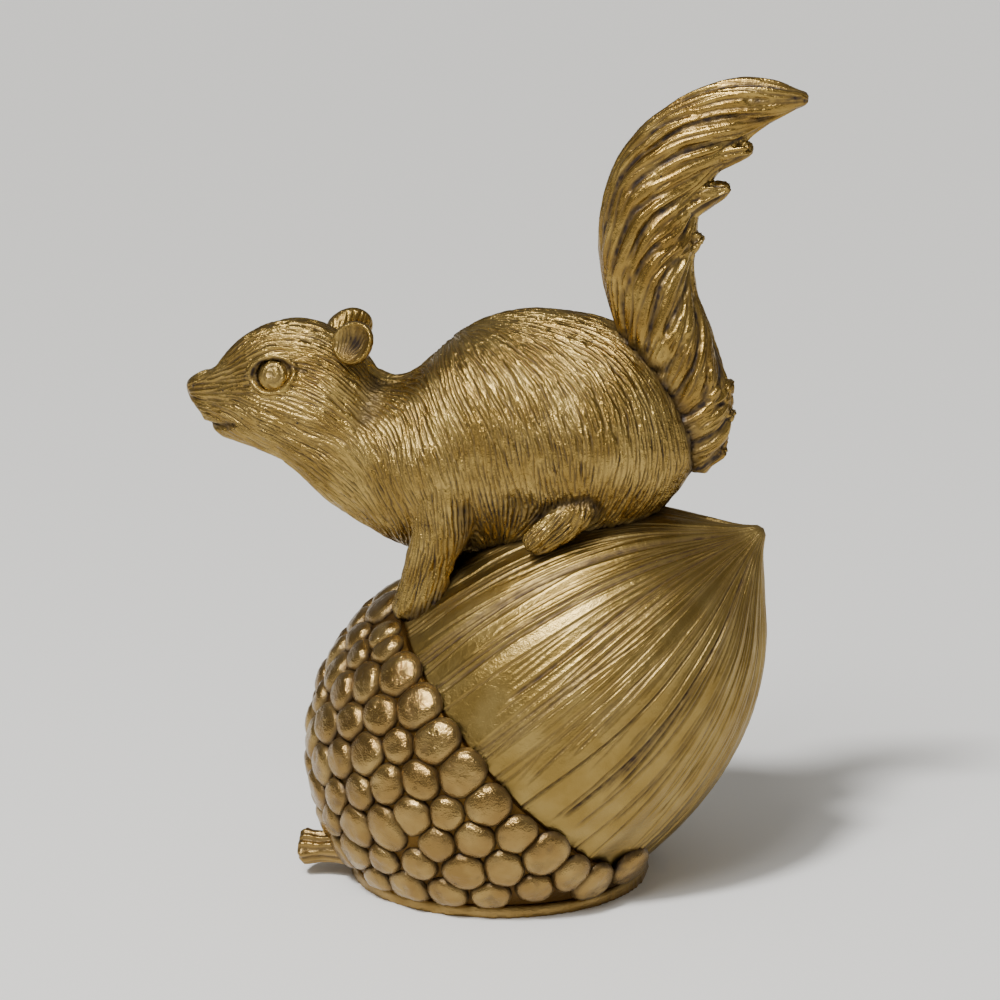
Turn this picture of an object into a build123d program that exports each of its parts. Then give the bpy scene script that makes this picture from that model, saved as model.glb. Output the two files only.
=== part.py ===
from build123d import *
import os
from math import asin, atan2, cos, degrees, hypot, pi, radians, sin, sqrt

# Squirrel on an acorn, a cast and gilded table ornament.
# Millimetres. The foot's flat face is at z = 0 with the foot's centre at the origin.
# The squirrel looks along -X, the acorn's tip points along +X and up, and y = 0 is the mid plane.

# Acorn cup and foot
cup_radius = 47.4
cup_centre_height = 32.2
acorn_tilt = 42.2
rim_ahead = 9.4
foot_radius = 38.4
foot_height = 3.4
foot_edge_chamfer = 1.0

# Nut
nut_rim_radius = 45.4
nut_length = 79.9
nut_tip_round = 1.4
spigot_radius = 30.0
spigot_depth = 8.0

# Scales on the cup
scale_diameter = 10.0
scale_thickness = 3.0
scale_spacing = 0.1
rim_scale_phase = -1.0

# Stalk, a cut stub beside the cup's pole
stalk_diameter = 10.4
stalk_reach = 11.4
stalk_side_offset = 15.0
stalk_centre_height = 7.4
stalk_end_chamfer = 1.2

# Squirrel
body_length = 81.0
body_height = 54.4
body_width = 49.0
head_length = 48.0
head_height = 38.0
head_width = 29.0
neck_forward = 37.5
eye_diameter = 6.6
eye_showing = 1.4
eye_sink = 0.6
eye_seat_depth = 1.4
ear_diameter = 13.0
ear_depth = 7.0
ear_wall = 1.7
ear_seat_depth = 3.6
ear_back = 1.5
ear_stagger = 6.0
foreleg_height = 38.0
foreleg_width = 9.4
foreleg_lean = 13.5
foreleg_inset = 8.5
foreleg_ahead = 11.5
paw_diameter = 12.0
hind_foot_length = 19.0
hind_foot_width = 8.6
hind_foot_thickness = 9.2
hind_foot_inset = 5.0
hind_heel_behind = 21.5
hind_heel_above = 10.2

# Tail
tail_height = 93.2
tail_reach = 40.0
tail_width = 24.2
tail_thickness = 21.0
lock_length = 16.0
lock_width = 8.0

# Pins inside the joints
tail_pin_diameter = 3.0
tail_pin_length = 14.0
seat_pin_diameter = 4.0
seat_pin_length = 20.0

# Fits
glue_gap = 0.25
pin_clearance = 0.1

os.makedirs("parts", exist_ok=True)


def save(piece, name):
    piece.label = name
    export_step(piece, f"parts/{name}.step")


# Pads, the domed buttons that the scales and the eyes are
pad_shoulder_height_share = 0.6
pad_shoulder_radius_share = 0.88
pad_crown_radius_share = 0.5


def pad_form(radius, height, sides):
    """Button with its widest outline at height 0 and two slopes up to a flat crown."""
    flat = cos(pi / sides)
    shoulder_height = pad_shoulder_height_share * height
    shoulder_radius = pad_shoulder_radius_share * radius
    crown_radius = pad_crown_radius_share * radius
    side_slope = atan2((radius - shoulder_radius) * flat, shoulder_height)
    crown_slope = atan2((shoulder_radius - crown_radius) * flat, height - shoulder_height)
    with BuildPart() as form:
        with BuildSketch():
            RegularPolygon(radius, sides)
        extrude(amount=shoulder_height, taper=degrees(side_slope))
        with BuildSketch(Plane.XY.offset(shoulder_height)):
            RegularPolygon(shoulder_radius, sides)
        extrude(amount=height - shoulder_height, taper=degrees(crown_slope))
    return form.part


# The acorn's own frame: its axis climbs from the cup's centre to the nut's tip
axis_dir = Vector(cos(radians(acorn_tilt)), 0, sin(radians(acorn_tilt)))
upper_dir = Vector(-sin(radians(acorn_tilt)), 0, cos(radians(acorn_tilt)))
cup_centre = Vector(0, 0, cup_centre_height)
acorn_axis = Axis(cup_centre, axis_dir)
acorn_profile_plane = Plane(origin=cup_centre, x_dir=upper_dir, z_dir=(0, 1, 0))


# The nut's outline is three arcs that run into each other. Where they begin, from the rim on:
# share of its length, share of its rim radius
nut_rim_shares, nut_flank_shares, nut_shoulder_shares = (0.0, 1.0), (0.42, 0.882), (0.875, 0.262)

# Where the squirrel sits on that outline: under its belly and under its haunches
perch_shares, haunch_seat_shares = nut_flank_shares, (0.6, 0.735)


def nut_point(along_share, radius_share):
    """Point of the nut's upper outline on the mid plane."""
    along = rim_ahead + along_share * nut_length
    return cup_centre + axis_dir * along + upper_dir * (radius_share * nut_rim_radius)


def nut_form(grow):
    """The nut's outer shape without its spigot, grown all round by a clearance."""
    tip = rim_ahead + nut_length + grow
    rim, flank, shoulder = (
        (radius_share * nut_rim_radius + grow, rim_ahead + along_share * nut_length)
        for along_share, radius_share in (nut_rim_shares, nut_flank_shares, nut_shoulder_shares)
    )
    with BuildPart() as form:
        with BuildSketch(acorn_profile_plane):
            with BuildLine():
                wide_arc = TangentArc(rim, flank, tangent=(0, 1))
                shoulder_arc = TangentArc(flank, shoulder, tangent=wide_arc % 1)
                tip_arc = TangentArc(shoulder, (nut_tip_round + grow, tip), tangent=shoulder_arc % 1)
                Polyline(tip_arc @ 1, (0, tip), (0, rim_ahead), wide_arc @ 0)
            make_face()
        revolve(axis=acorn_axis)
    return form.part


# Cup, a ball cut off at the rim and flat on the foot
with BuildPart() as cup:
    with BuildSketch(acorn_profile_plane):
        with BuildLine():
            rim_radius = sqrt(cup_radius**2 - rim_ahead**2)
            wall = ThreePointArc(
                (0, -cup_radius),
                (cup_radius * cos(pi / 4), -cup_radius * sin(pi / 4)),
                (rim_radius, rim_ahead),
            )
            socket_radius = spigot_radius + glue_gap
            socket_floor = rim_ahead - spigot_depth - glue_gap
            Polyline(
                wall @ 1,
                (socket_radius, rim_ahead),
                (socket_radius, socket_floor),
                (0, socket_floor),
                wall @ 0,
            )
        make_face()
    revolve(axis=acorn_axis)
    split(bisect_by=Plane.XY.offset(foot_height), keep=Keep.TOP)

save(cup.part, "cup")

# Foot, the smooth low lip that the scales stop above
with BuildPart() as foot:
    with BuildSketch():
        Circle(foot_radius)
    extrude(amount=foot_height)
    chamfer(foot.edges().group_by(Axis.Z)[-1], foot_edge_chamfer)

save(foot.part, "foot")

# Stalk, a turned stub whose root is hollowed to the cup
stalk_radius = stalk_diameter / 2
stalk_waist_share = 0.86
stalk_root_share = 1.05
stalk_root_radius = stalk_radius * stalk_root_share
stalk_level = stalk_centre_height - cup_centre_height
stalk_start = sqrt(cup_radius**2 - stalk_side_offset**2 - stalk_level**2)
stalk_plane = Plane(
    origin=(-stalk_start, -stalk_side_offset, stalk_centre_height),
    x_dir=(0, 0, 1),
    z_dir=(0, 1, 0),
)

with BuildPart() as stalk:
    with BuildSketch(stalk_plane):
        with BuildLine():
            Polyline(
                (stalk_root_radius, stalk_radius),
                (stalk_radius * stalk_waist_share, -stalk_reach / 2),
                (stalk_radius, -stalk_reach + stalk_end_chamfer),
                (stalk_radius - stalk_end_chamfer, -stalk_reach),
                (0, -stalk_reach),
                (0, stalk_radius),
                close=True,
            )
        make_face()
    revolve(axis=Axis(stalk_plane.origin, (1, 0, 0)))
    with Locations(cup_centre):
        Sphere(cup_radius + glue_gap, mode=Mode.SUBTRACT)
    with BuildSketch():
        Circle(foot_radius + glue_gap)
    extrude(amount=foot_height + glue_gap, mode=Mode.SUBTRACT)

save(stalk.part, "stalk")

with BuildPart() as stalk_seat:
    with BuildSketch(Plane(origin=stalk_plane.origin, z_dir=(-1, 0, 0))):
        Circle(stalk_root_radius + glue_gap)
    extrude(amount=stalk_reach, both=True)

# The squirrel's own reference is the point of the nut under its belly
perch = nut_point(*perch_shares)
neck_x = perch.X - neck_forward
rump_x = neck_x + body_length
outline_points = 8


def egg(half_width, rise, drop):
    """Closed outline about its widest line, which is at height 0, with even spans."""
    spans = [step / outline_points for step in range(outline_points + 1)]
    points = []
    for span in spans[:-1]:
        turn = 2 * pi * span
        reach = rise if cos(turn) > 0 else drop
        points.append((half_width * sin(turn), reach * cos(turn)))
    return Edge.make_spline(points, periodic=True, parameters=spans)


def carved(half_width, rise, drop, sides, groove_share=1.0):
    """The same outline with straight sides, every second corner drawn in by a groove."""
    points = []
    for step in range(sides):
        turn = 2 * pi * step / sides
        reach = rise if cos(turn) > 0 else drop
        depth = groove_share if step % 2 else 1
        points.append((depth * half_width * sin(turn), depth * reach * cos(turn)))
    return Polyline(*points, close=True)


# Torso stations from neck to rump: share of the body's length, then of its height for the
# back, the belly and the widest line, then of its half width
torso_shares = [
    (0.0, 0.71, -0.044, 0.338, 0.637),
    (0.03, 0.675, -0.068, 0.316, 0.658),
    (0.117, 0.683, -0.124, 0.286, 0.738),
    (0.25, 0.846, -0.15, 0.33, 0.84),
    (0.413, 0.97, -0.131, 0.388, 0.907),
    (0.587, 0.986, -0.089, 0.432, 0.987),
    (0.75, 0.936, -0.025, 0.431, 0.989),
    (0.883, 0.81, 0.076, 0.424, 0.811),
    (0.97, 0.615, 0.225, 0.4, 0.484),
    (1.0, 0.52, 0.29, 0.39, 0.33),
]

# Head stations from neck to nose, as shares of the head's length, height and half width
head_base_share = 0.213
head_shares = [
    (0.03, 0.756, -0.35, 0.2, 1.075),
    (0.117, 0.86, -0.29, 0.26, 1.065),
    (0.25, 0.962, -0.176, 0.378, 1.038),
    (0.413, 1.0, 0.016, 0.487, 0.99),
    (0.587, 0.95, 0.121, 0.518, 0.867),
    (0.75, 0.808, 0.19, 0.485, 0.578),
    (0.883, 0.652, 0.295, 0.484, 0.38),
    (0.97, 0.597, 0.445, 0.525, 0.21),
    (1.0, 0.565, 0.5, 0.534, 0.097),
]


def torso_station(number):
    """Place along X and heights above the floor of one torso outline."""
    along, back, belly, widest, half = torso_shares[number]
    place = neck_x + along * body_length
    widest_z = perch.Z + widest * body_height
    rise = (back - widest) * body_height
    drop = (widest - belly) * body_height
    return place, widest_z, half * body_width / 2, rise, drop


def head_station(number):
    """The same for one head outline."""
    along, crown, jaw, widest, half = head_shares[number]
    place = neck_x - along * head_length
    widest_z = perch.Z + head_base_share * body_height + widest * head_height
    rise = (crown - widest) * head_height
    drop = (widest - jaw) * head_height
    return place, widest_z, half * head_width / 2, rise, drop


def lofted_body(stations, grow):
    """Smooth skin through outlines that stand across X, grown by a clearance."""
    with BuildPart() as form:
        for place, widest_z, half_width, rise, drop in stations:
            with BuildSketch(Plane(origin=(place, 0, widest_z), x_dir=(0, 1, 0), z_dir=(1, 0, 0))):
                with BuildLine():
                    add(egg(half_width + grow, rise + grow, drop + grow))
                make_face()
        loft()
    return form.part


torso_stations = [torso_station(number) for number in range(len(torso_shares))]
head_stations = [torso_station(0)] + [head_station(number) for number in range(len(head_shares))]


def torso_form(grow):
    return lofted_body(torso_stations, grow)


def head_form(grow):
    return lofted_body(head_stations, grow)


def pin_form(plane, diameter, length):
    """Straight pin whose middle is at the plane's origin."""
    with BuildPart() as form:
        with BuildSketch(plane):
            Circle(diameter / 2)
        extrude(amount=length / 2, both=True)
    return form.part


def pin_hole(plane, diameter, length):
    return pin_form(plane, diameter + 2 * pin_clearance, length + 2 * pin_clearance)


# Pins stand in the joints: two from nut to torso, one from rump to tail
seat_pin_planes = [
    Plane(origin=nut_point(*shares), z_dir=upper_dir) for shares in (perch_shares, haunch_seat_shares)
]
tail_pin_height_share = 0.55
tail_pin_plane = Plane(
    origin=(rump_x, 0, perch.Z + tail_pin_height_share * body_height),
    z_dir=(1, 0, 0),
)

with BuildPart() as seat_pins:
    for plane in seat_pin_planes:
        add(pin_form(plane, seat_pin_diameter, seat_pin_length))

save(seat_pins.part, "seat_pins")

with BuildPart() as tail_pin:
    add(pin_form(tail_pin_plane, tail_pin_diameter, tail_pin_length))

save(tail_pin.part, "tail_pin")

# Nut with the spigot that glues into the cup
with BuildPart() as nut:
    add(nut_form(0))
    with BuildSketch(acorn_profile_plane):
        with BuildLine():
            Polyline(
                (0, rim_ahead - spigot_depth),
                (spigot_radius, rim_ahead - spigot_depth),
                (spigot_radius, rim_ahead),
                (0, rim_ahead),
                close=True,
            )
        make_face()
    revolve(axis=acorn_axis)
    for plane in seat_pin_planes:
        add(pin_hole(plane, seat_pin_diameter, seat_pin_length), mode=Mode.SUBTRACT)

save(nut.part, "nut")

# Torso, hollowed underneath to sit on the nut
nut_seat = nut_form(glue_gap)

with BuildPart() as torso:
    add(torso_form(0))
    add(nut_seat, mode=Mode.SUBTRACT)
    for plane in seat_pin_planes:
        add(pin_hole(plane, seat_pin_diameter, seat_pin_length), mode=Mode.SUBTRACT)
    add(pin_hole(tail_pin_plane, tail_pin_diameter, tail_pin_length), mode=Mode.SUBTRACT)

save(torso.part, "torso")

# Eyes, domed buttons set in round sockets between two head outlines
eye_station, eye_onward_share = 4, 0.35
eye_height_share = 0.41
eye_sides = 12
left, right = -1, 1


def skin_point(station, height_share, side):
    """Point of a torso or head outline above its widest line, and the way out of the skin there."""
    place, widest_z, half_width, rise, drop = station
    across = half_width * sqrt(1 - height_share**2)
    point = Vector(place, side * across, widest_z + height_share * rise)
    outward = Vector(0, side * across / half_width**2, height_share / rise).normalized()
    return point, outward


def eye_plane(side):
    """Plane of the eye's edge, a little below the skin."""
    behind, ahead = head_stations[eye_station], head_stations[eye_station + 1]
    outline = [near + eye_onward_share * (far - near) for near, far in zip(behind, ahead)]
    point, outward = skin_point(outline, eye_height_share, side)
    return Plane(origin=point - outward * eye_sink, z_dir=outward)


def eye_form(grow):
    """Button with a domed face above height 0 and a flat back, grown by a clearance."""
    radius = eye_diameter / 2 + grow
    with BuildPart() as form:
        add(pad_form(radius, eye_showing + eye_sink, eye_sides))
        with BuildSketch():
            RegularPolygon(radius, eye_sides)
        extrude(amount=-eye_seat_depth - grow)
    return form.part


with BuildPart() as head:
    add(head_form(0))
    with Locations(eye_plane(left), eye_plane(right)):
        add(eye_form(glue_gap), mode=Mode.SUBTRACT)

save(head.part, "head")

for side, side_name in ((left, "left"), (right, "right")):
    with BuildPart() as eye:
        with Locations(eye_plane(side)):
            add(eye_form(0))
    save(eye.part, f"eye_{side_name}")

# Ears, shallow cups whose backs seat on the head
ear_station = 2
ear_height_share = 0.8
ear_raise_share = 0.86
ear_forward, ear_outward, ear_upward = -0.35, 0.85, 0.3
ear_radius = ear_diameter / 2

# Rings of the ear's outside from rim to back, then of its hollow: shares of depth and radius
ear_outside_shares = [(0.0, 1.0), (0.45, 0.94), (1.0, 0.4)]
ear_hollow_shares = [(0.0, 1.0), (0.5, 0.86), (1.0, 0.4)]
ear_sides = 12


def ring_form(ring_shares, radius, depth):
    """Stack of rings below height 0."""
    with BuildPart() as form:
        for depth_share, radius_share in ring_shares:
            with BuildSketch(Plane.XY.offset(-depth_share * depth)):
                RegularPolygon(radius_share * radius, ear_sides)
        loft(ruled=True)
    return form.part


def ear_form():
    """Cup opening along +Z with its rim at height 0."""
    with BuildPart() as form:
        add(ring_form(ear_outside_shares, ear_radius, ear_depth))
        hollow = ring_form(ear_hollow_shares, ear_radius - ear_wall, ear_depth - ear_wall)
        add(hollow, mode=Mode.SUBTRACT)
    return form.part


def ear_plane(side):
    opening = Vector(ear_forward, side * ear_outward, ear_upward).normalized()
    point, outward = skin_point(head_stations[ear_station], ear_height_share, side)
    shift = Vector(ear_back - side * ear_stagger / 2, 0, ear_raise_share * ear_radius)
    centre = point + opening * (ear_depth - ear_seat_depth) + shift
    return Plane(origin=centre, z_dir=opening)


head_seat = head_form(glue_gap)
torso_seat = torso_form(glue_gap)

for side, side_name in ((left, "left"), (right, "right")):
    with BuildPart() as ear:
        with Locations(ear_plane(side)):
            add(ear_form())
        add(head_seat, mode=Mode.SUBTRACT)
    save(ear.part, f"ear_{side_name}")

# Foreleg stations from shoulder to paw: shares of the leg's height, of its lean, and of its
# width for the half sizes fore and aft and across
foreleg_shares = [
    (0.0, 0.0, 0.957, 0.53),
    (0.237, 0.207, 0.915, 0.564),
    (0.447, 0.393, 0.82, 0.553),
    (0.632, 0.607, 0.67, 0.51),
    (0.763, 0.8, 0.543, 0.468),
    (0.882, 0.948, 0.49, 0.49),
    (1.0, 1.0, 0.404, 0.447),
]
foreleg_top_share = 0.283
limb_sides = 12
foreleg_top = perch + Vector(-foreleg_ahead, 0, foreleg_top_share * body_height)
paw_height_share = 0.87


def foreleg_form(side):
    with BuildPart() as form:
        for down, lean, fore_aft, across in foreleg_shares:
            centre = Vector(
                foreleg_top.X - lean * foreleg_lean,
                side * (body_width / 2 - foreleg_inset),
                foreleg_top.Z - down * foreleg_height,
            )
            half_depth = fore_aft * foreleg_width
            with BuildSketch(Plane(origin=centre, x_dir=(0, 1, 0), z_dir=(0, 0, -1))):
                with BuildLine():
                    carved(across * foreleg_width, half_depth, half_depth, limb_sides)
                make_face()
        loft(ruled=True)
    return form.part


def paw_centre(side):
    return Vector(
        foreleg_top.X - foreleg_lean,
        side * (body_width / 2 - foreleg_inset),
        foreleg_top.Z - paw_height_share * foreleg_height,
    )


with BuildPart() as cup_seat:
    with Locations(cup_centre):
        Sphere(cup_radius + glue_gap)

for side, side_name in ((left, "left"), (right, "right")):
    with BuildPart() as foreleg:
        add(foreleg_form(side))
        add(torso_seat, mode=Mode.SUBTRACT)
        add(nut_seat, mode=Mode.SUBTRACT)
        add(cup_seat.part, mode=Mode.SUBTRACT)
    save(foreleg.part, f"foreleg_{side_name}")

# Hind foot stations from heel to toes: share of its length, then of its half width and thickness
hind_foot_shares = [
    (0.0, 0.6, 0.6),
    (0.2, 0.9, 0.94),
    (0.5, 1.0, 1.0),
    (0.8, 0.88, 0.95),
    (0.95, 0.66, 0.82),
    (1.0, 0.38, 0.55),
]
hind_foot_dip, hind_foot_toe_out = 34.5, 8.0


def hind_foot_form(side):
    dip, toe_out = radians(hind_foot_dip), radians(hind_foot_toe_out)
    forward = Vector(-cos(dip) * cos(toe_out), side * cos(dip) * sin(toe_out), -sin(dip))
    heel = perch + Vector(hind_heel_behind, side * (body_width / 2 - hind_foot_inset), hind_heel_above)
    with BuildPart() as form:
        for along, width, thickness in hind_foot_shares:
            origin = heel + forward * (along * hind_foot_length)
            half_width = width * hind_foot_width / 2
            with BuildSketch(Plane(origin=origin, x_dir=(0, 1, 0), z_dir=forward)):
                with BuildLine():
                    carved(thickness * hind_foot_thickness / 2, half_width, half_width, limb_sides)
                make_face()
        loft(ruled=True)
    return form.part


for side, side_name in ((left, "left"), (right, "right")):
    with BuildPart() as hind_foot:
        add(hind_foot_form(side))
        add(torso_seat, mode=Mode.SUBTRACT)
        add(nut_seat, mode=Mode.SUBTRACT)
    save(hind_foot.part, f"hind_foot_{side_name}")

# Tail stations from root to tip: share of its reach past the rump, of its height above its
# root, of its half width and of its half thickness
tail_shares = [
    (0.033, 0.0, 0.2, 0.29),
    (0.038, 0.022, 0.304, 0.372),
    (0.045, 0.085, 0.58, 0.584),
    (0.008, 0.185, 0.78, 0.773),
    (-0.112, 0.307, 0.88, 0.892),
    (-0.25, 0.449, 0.9, 0.969),
    (-0.3, 0.611, 0.985, 0.96),
    (-0.232, 0.77, 0.95, 0.822),
    (-0.018, 0.892, 0.85, 0.657),
    (0.24, 0.967, 0.65, 0.489),
    (0.465, 0.992, 0.385, 0.331),
    (0.614, 0.998, 0.176, 0.176),
    (0.665, 0.999, 0.1, 0.115),
]
tail_root_share = 0.275
tail_root = Vector(rump_x, 0, perch.Z + tail_root_share * body_height)
spine_side_share = 0.8
tail_sides = 24
tail_groove_share = 0.95


def tail_centre(number):
    out, up, width, thickness = tail_shares[number]
    return tail_root + Vector(out * tail_reach, 0, up * tail_height)


def tail_direction(number):
    """Way along the tail at a station, from its neighbours."""
    before = tail_centre(max(number - 1, 0))
    after = tail_centre(min(number + 1, len(tail_shares) - 1))
    return (after - before).normalized()


def tail_plane(number):
    """Plane across the tail: its y points to the spine, away from the hair tips."""
    return Plane(origin=tail_centre(number), x_dir=(0, 1, 0), z_dir=tail_direction(number))


def tail_form():
    with BuildPart() as form:
        for number, (out, up, width, thickness) in enumerate(tail_shares):
            half_width = width * tail_width / 2
            half_thickness = thickness * tail_thickness / 2
            to_spine = spine_side_share * half_width
            to_hair = (2 - spine_side_share) * half_width
            plane = tail_plane(number)
            widest = plane.origin + plane.y_dir * (half_width - to_spine)
            with BuildSketch(Plane(origin=widest, x_dir=plane.x_dir, z_dir=plane.z_dir)):
                with BuildLine():
                    carved(half_thickness, to_spine, to_hair, tail_sides, tail_groove_share)
                make_face()
        loft(ruled=True)
    return form.part


# Locks, pointed tufts on the hair side: where each tip is, as shares of the tail's reach and height
lock_tip_shares = [(0.0575, 0.66), (0.18, 0.765), (0.3225, 0.853)]
lock_rise = 22.0
lock_taper_shares = [(0.0, 0.12), (0.25, 0.5), (1.0, 1.0)]
lock_sides = 8


def lock_form(out, up):
    """Tuft from its tip back into the tail."""
    tip = tail_root + Vector(out * tail_reach, 0, up * tail_height)
    outward = Vector(cos(radians(lock_rise)), 0, sin(radians(lock_rise)))
    with BuildPart() as form:
        for back, thick in lock_taper_shares:
            half_width = thick * lock_width / 2
            with BuildSketch(Plane(origin=tip - outward * (back * lock_length), x_dir=(0, 1, 0), z_dir=outward)):
                with BuildLine():
                    carved(half_width, half_width, half_width, lock_sides)
                make_face()
        loft(ruled=True)
    return form.part


with BuildPart() as tail:
    add(tail_form())
    for out, up in lock_tip_shares:
        add(lock_form(out, up))
    add(torso_seat, mode=Mode.SUBTRACT)
    add(pin_hole(tail_pin_plane, tail_pin_diameter, tail_pin_length), mode=Mode.SUBTRACT)

save(tail.part, "tail")

# Scales, domed pads in staggered rows from the rim back to the pole
scale_group_sizes = (3, 2, 1, 1, 1, 1)
smallest_scale_share = 0.95
stagger_share = 0.87
scale_sides = 8
side_dir = Vector(0, -1, 0)
lowest_scale_share = 0.3


def scale_plane(polar, turn):
    """Where a pad sits: polar angle from the cup's pole, turn round the acorn's axis."""
    ring = upper_dir * cos(turn) + side_dir * sin(turn)
    outward = axis_dir * -cos(polar) + ring * sin(polar)
    around = side_dir * cos(turn) - upper_dir * sin(turn)
    return Plane(origin=cup_centre + outward * (cup_radius + glue_gap), x_dir=around, z_dir=outward)


def is_clear(plane, radius):
    """False where the foot, the stalk or a paw takes a pad's place."""
    droop = radius * hypot(plane.z_dir.X, plane.z_dir.Y)
    if plane.origin.Z < foot_height + lowest_scale_share * droop:
        return False
    from_stalk = hypot(plane.origin.Y + stalk_side_offset, plane.origin.Z - stalk_centre_height)
    if plane.origin.X < 0 and from_stalk < stalk_root_radius + lowest_scale_share * droop:
        return False
    for side in (left, right):
        if (plane.origin - paw_centre(side)).length < paw_diameter / 2 + radius:
            return False
    return True


rim_polar = pi / 2 + asin(rim_ahead / cup_radius)
polar = rim_polar - scale_diameter / 2 / cup_radius
row_number = 0
for group_size in scale_group_sizes:
    last_polar = polar - (group_size - 1) * stagger_share * scale_diameter / cup_radius
    last_round = 2 * pi * cup_radius * sin(max(last_polar, 0))
    count = max(int(last_round / (smallest_scale_share * scale_diameter)), 1)
    for row_in_group in range(group_size):
        pitch = 2 * pi * cup_radius * sin(polar) / count
        diameter = min(scale_diameter, pitch - scale_spacing)
        row_number += 1
        planes = []
        for index in range(count):
            stagger = 0.5 * (row_number % 2 == 0)
            turn = radians(rim_scale_phase) + 2 * pi * (index + stagger) / count
            plane = scale_plane(polar, turn)
            if is_clear(plane, diameter / 2):
                planes.append(plane)
        if planes:
            with BuildPart() as scale_row:
                with Locations(*planes):
                    add(pad_form(diameter / 2, scale_thickness, scale_sides))
                split(bisect_by=Plane.XY.offset(foot_height + glue_gap), keep=Keep.TOP)
                add(stalk_seat.part, mode=Mode.SUBTRACT)
            save(scale_row.part, f"scale_row_{row_number}")
            print("scale row", row_number, "count", len(planes), "diameter", round(diameter, 2))
        last_in_group = row_in_group == group_size - 1
        polar -= diameter * (1 if last_in_group else stagger_share) / cup_radius
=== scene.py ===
# %% [markdown]
# # A gold painted squirrel on an acorn
#
# The ornament is a resin casting that was sprayed gold and then wiped with a thin brown stain.
# The stain stays in the carved lines, and that is what makes the fur and the fluting readable.
# So every piece here gets its carving in the mesh, and remembers how deep each point lies.
# The gold paint then reads that depth and darkens the grooves; in a few places the same value also holds
# painted shade.

import math

import bmesh
import bpy
import numpy as np
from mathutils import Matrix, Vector
from mathutils.bvhtree import BVHTree


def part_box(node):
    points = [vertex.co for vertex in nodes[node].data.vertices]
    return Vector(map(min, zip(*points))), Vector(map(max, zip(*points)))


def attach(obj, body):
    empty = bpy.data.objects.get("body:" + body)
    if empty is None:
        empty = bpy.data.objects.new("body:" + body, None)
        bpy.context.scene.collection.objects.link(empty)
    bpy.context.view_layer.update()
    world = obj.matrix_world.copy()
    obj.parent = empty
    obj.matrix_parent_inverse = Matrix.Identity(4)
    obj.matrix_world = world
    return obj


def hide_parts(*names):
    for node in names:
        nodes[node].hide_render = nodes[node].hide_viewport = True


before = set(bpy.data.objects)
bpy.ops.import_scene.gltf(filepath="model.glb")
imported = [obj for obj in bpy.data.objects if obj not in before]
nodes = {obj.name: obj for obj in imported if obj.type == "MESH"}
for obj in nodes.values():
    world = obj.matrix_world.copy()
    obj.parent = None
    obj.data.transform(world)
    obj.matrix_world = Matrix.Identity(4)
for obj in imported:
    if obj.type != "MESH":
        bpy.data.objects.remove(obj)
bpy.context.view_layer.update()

mm = 0.001
chance = np.random.default_rng(7)
print("nodes:", len(nodes))

# %% [markdown]
# ## Places that the pieces share
#
# The acorn leans back, so its pads and its fluting are easiest to describe round its own axis.
# These are the same sizes as the solid model has, in millimetres.

# %% Shared places
cup_centre = np.array([0.0, 0.0, 32.2])
cup_radius = 47.4
acorn_tilt = math.radians(42.2)
acorn_axis = np.array([math.cos(acorn_tilt), 0.0, math.sin(acorn_tilt)])
acorn_upper = np.array([-math.sin(acorn_tilt), 0.0, math.cos(acorn_tilt)])
acorn_side = np.array([0.0, -1.0, 0.0])
# The nut comes out of the cup this far along the axis
rim_ahead = 9.4
nut_length = 79.9
nut_rim_radius = 45.4
foot_height = 3.4
print("acorn axis:", acorn_axis.round(3))

# %% [markdown]
# ## Points as one array
#
# Carving moves a hundred thousand points, and moving them one by one in Python is slow.
# So a piece's points are read into one array, moved there all together, and written back.
# `read_points` and `write_points` carry them between Blender and the array, in millimetres.

# %% Points
def read_points(piece):
    flat = np.empty(len(piece.data.vertices) * 3)
    piece.data.vertices.foreach_get("co", flat)
    return flat.reshape(-1, 3) / mm


def write_points(piece, points):
    piece.data.vertices.foreach_set("co", (points * mm).ravel())
    piece.data.update()


def read_normals(piece):
    flat = np.empty(len(piece.data.vertices) * 3)
    piece.data.vertices.foreach_get("normal", flat)
    return flat.reshape(-1, 3)


def write_attribute(piece, name, values):
    attribute = piece.data.attributes.new(name, "FLOAT", "POINT")
    attribute.data.foreach_set("value", np.asarray(values, dtype=np.float32))


def unit(vectors):
    return vectors / np.maximum(np.linalg.norm(vectors, axis=-1, keepdims=True), 1e-9)


# %% [markdown]
# ## Soft random values
#
# Hand work is never even. `soft_noise` is a cloud of random values on a turned lattice, blended in between,
# so a point always gets the same value, and points close together get nearly the same one.

# %% Random values
cloud_count = 4096
cloud_values = np.random.default_rng(5).random(cloud_count).astype(np.float32) * 2 - 1
cloud_turn = np.linalg.qr(np.random.default_rng(3).normal(size=(3, 3)))[0]
cloud_primes = (73856093, 19349663, 83492791)
# Another seed reads the cloud this many lattice steps further on
seed_step = 31.7


def soft_noise(points, size, seed=0):
    """Random values from -1 to 1 that change over about `size` millimetres."""
    scaled = points @ cloud_turn / size + seed_step * seed
    corner = np.floor(scaled)
    share = scaled - corner
    share_x, share_y, share_z = (share * share * (3 - 2 * share)).astype(np.float32).T
    corner = corner.astype(np.int64)
    keys_x, keys_y, keys_z = (
        (corner[:, axis] * prime, (corner[:, axis] + 1) * prime) for axis, prime in enumerate(cloud_primes)
    )
    planes = []
    for key_x in keys_x:
        edges = []
        for key_y in keys_y:
            low, high = (cloud_values[(key_x ^ key_y ^ key_z) & (cloud_count - 1)] for key_z in keys_z)
            edges.append(low + share_z * (high - low))
        planes.append(edges[0] + share_y * (edges[1] - edges[0]))
    return planes[0] + share_x * (planes[1] - planes[0])


print("random values in the cloud:", cloud_count)

# %% [markdown]
# ## Colours and nodes
#
# Colours are picked as they look on a screen, and `linear` turns them into the values that light adds up in.
# One function adds every shader node, so that a finish below reads as a list of what it is made of.

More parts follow.
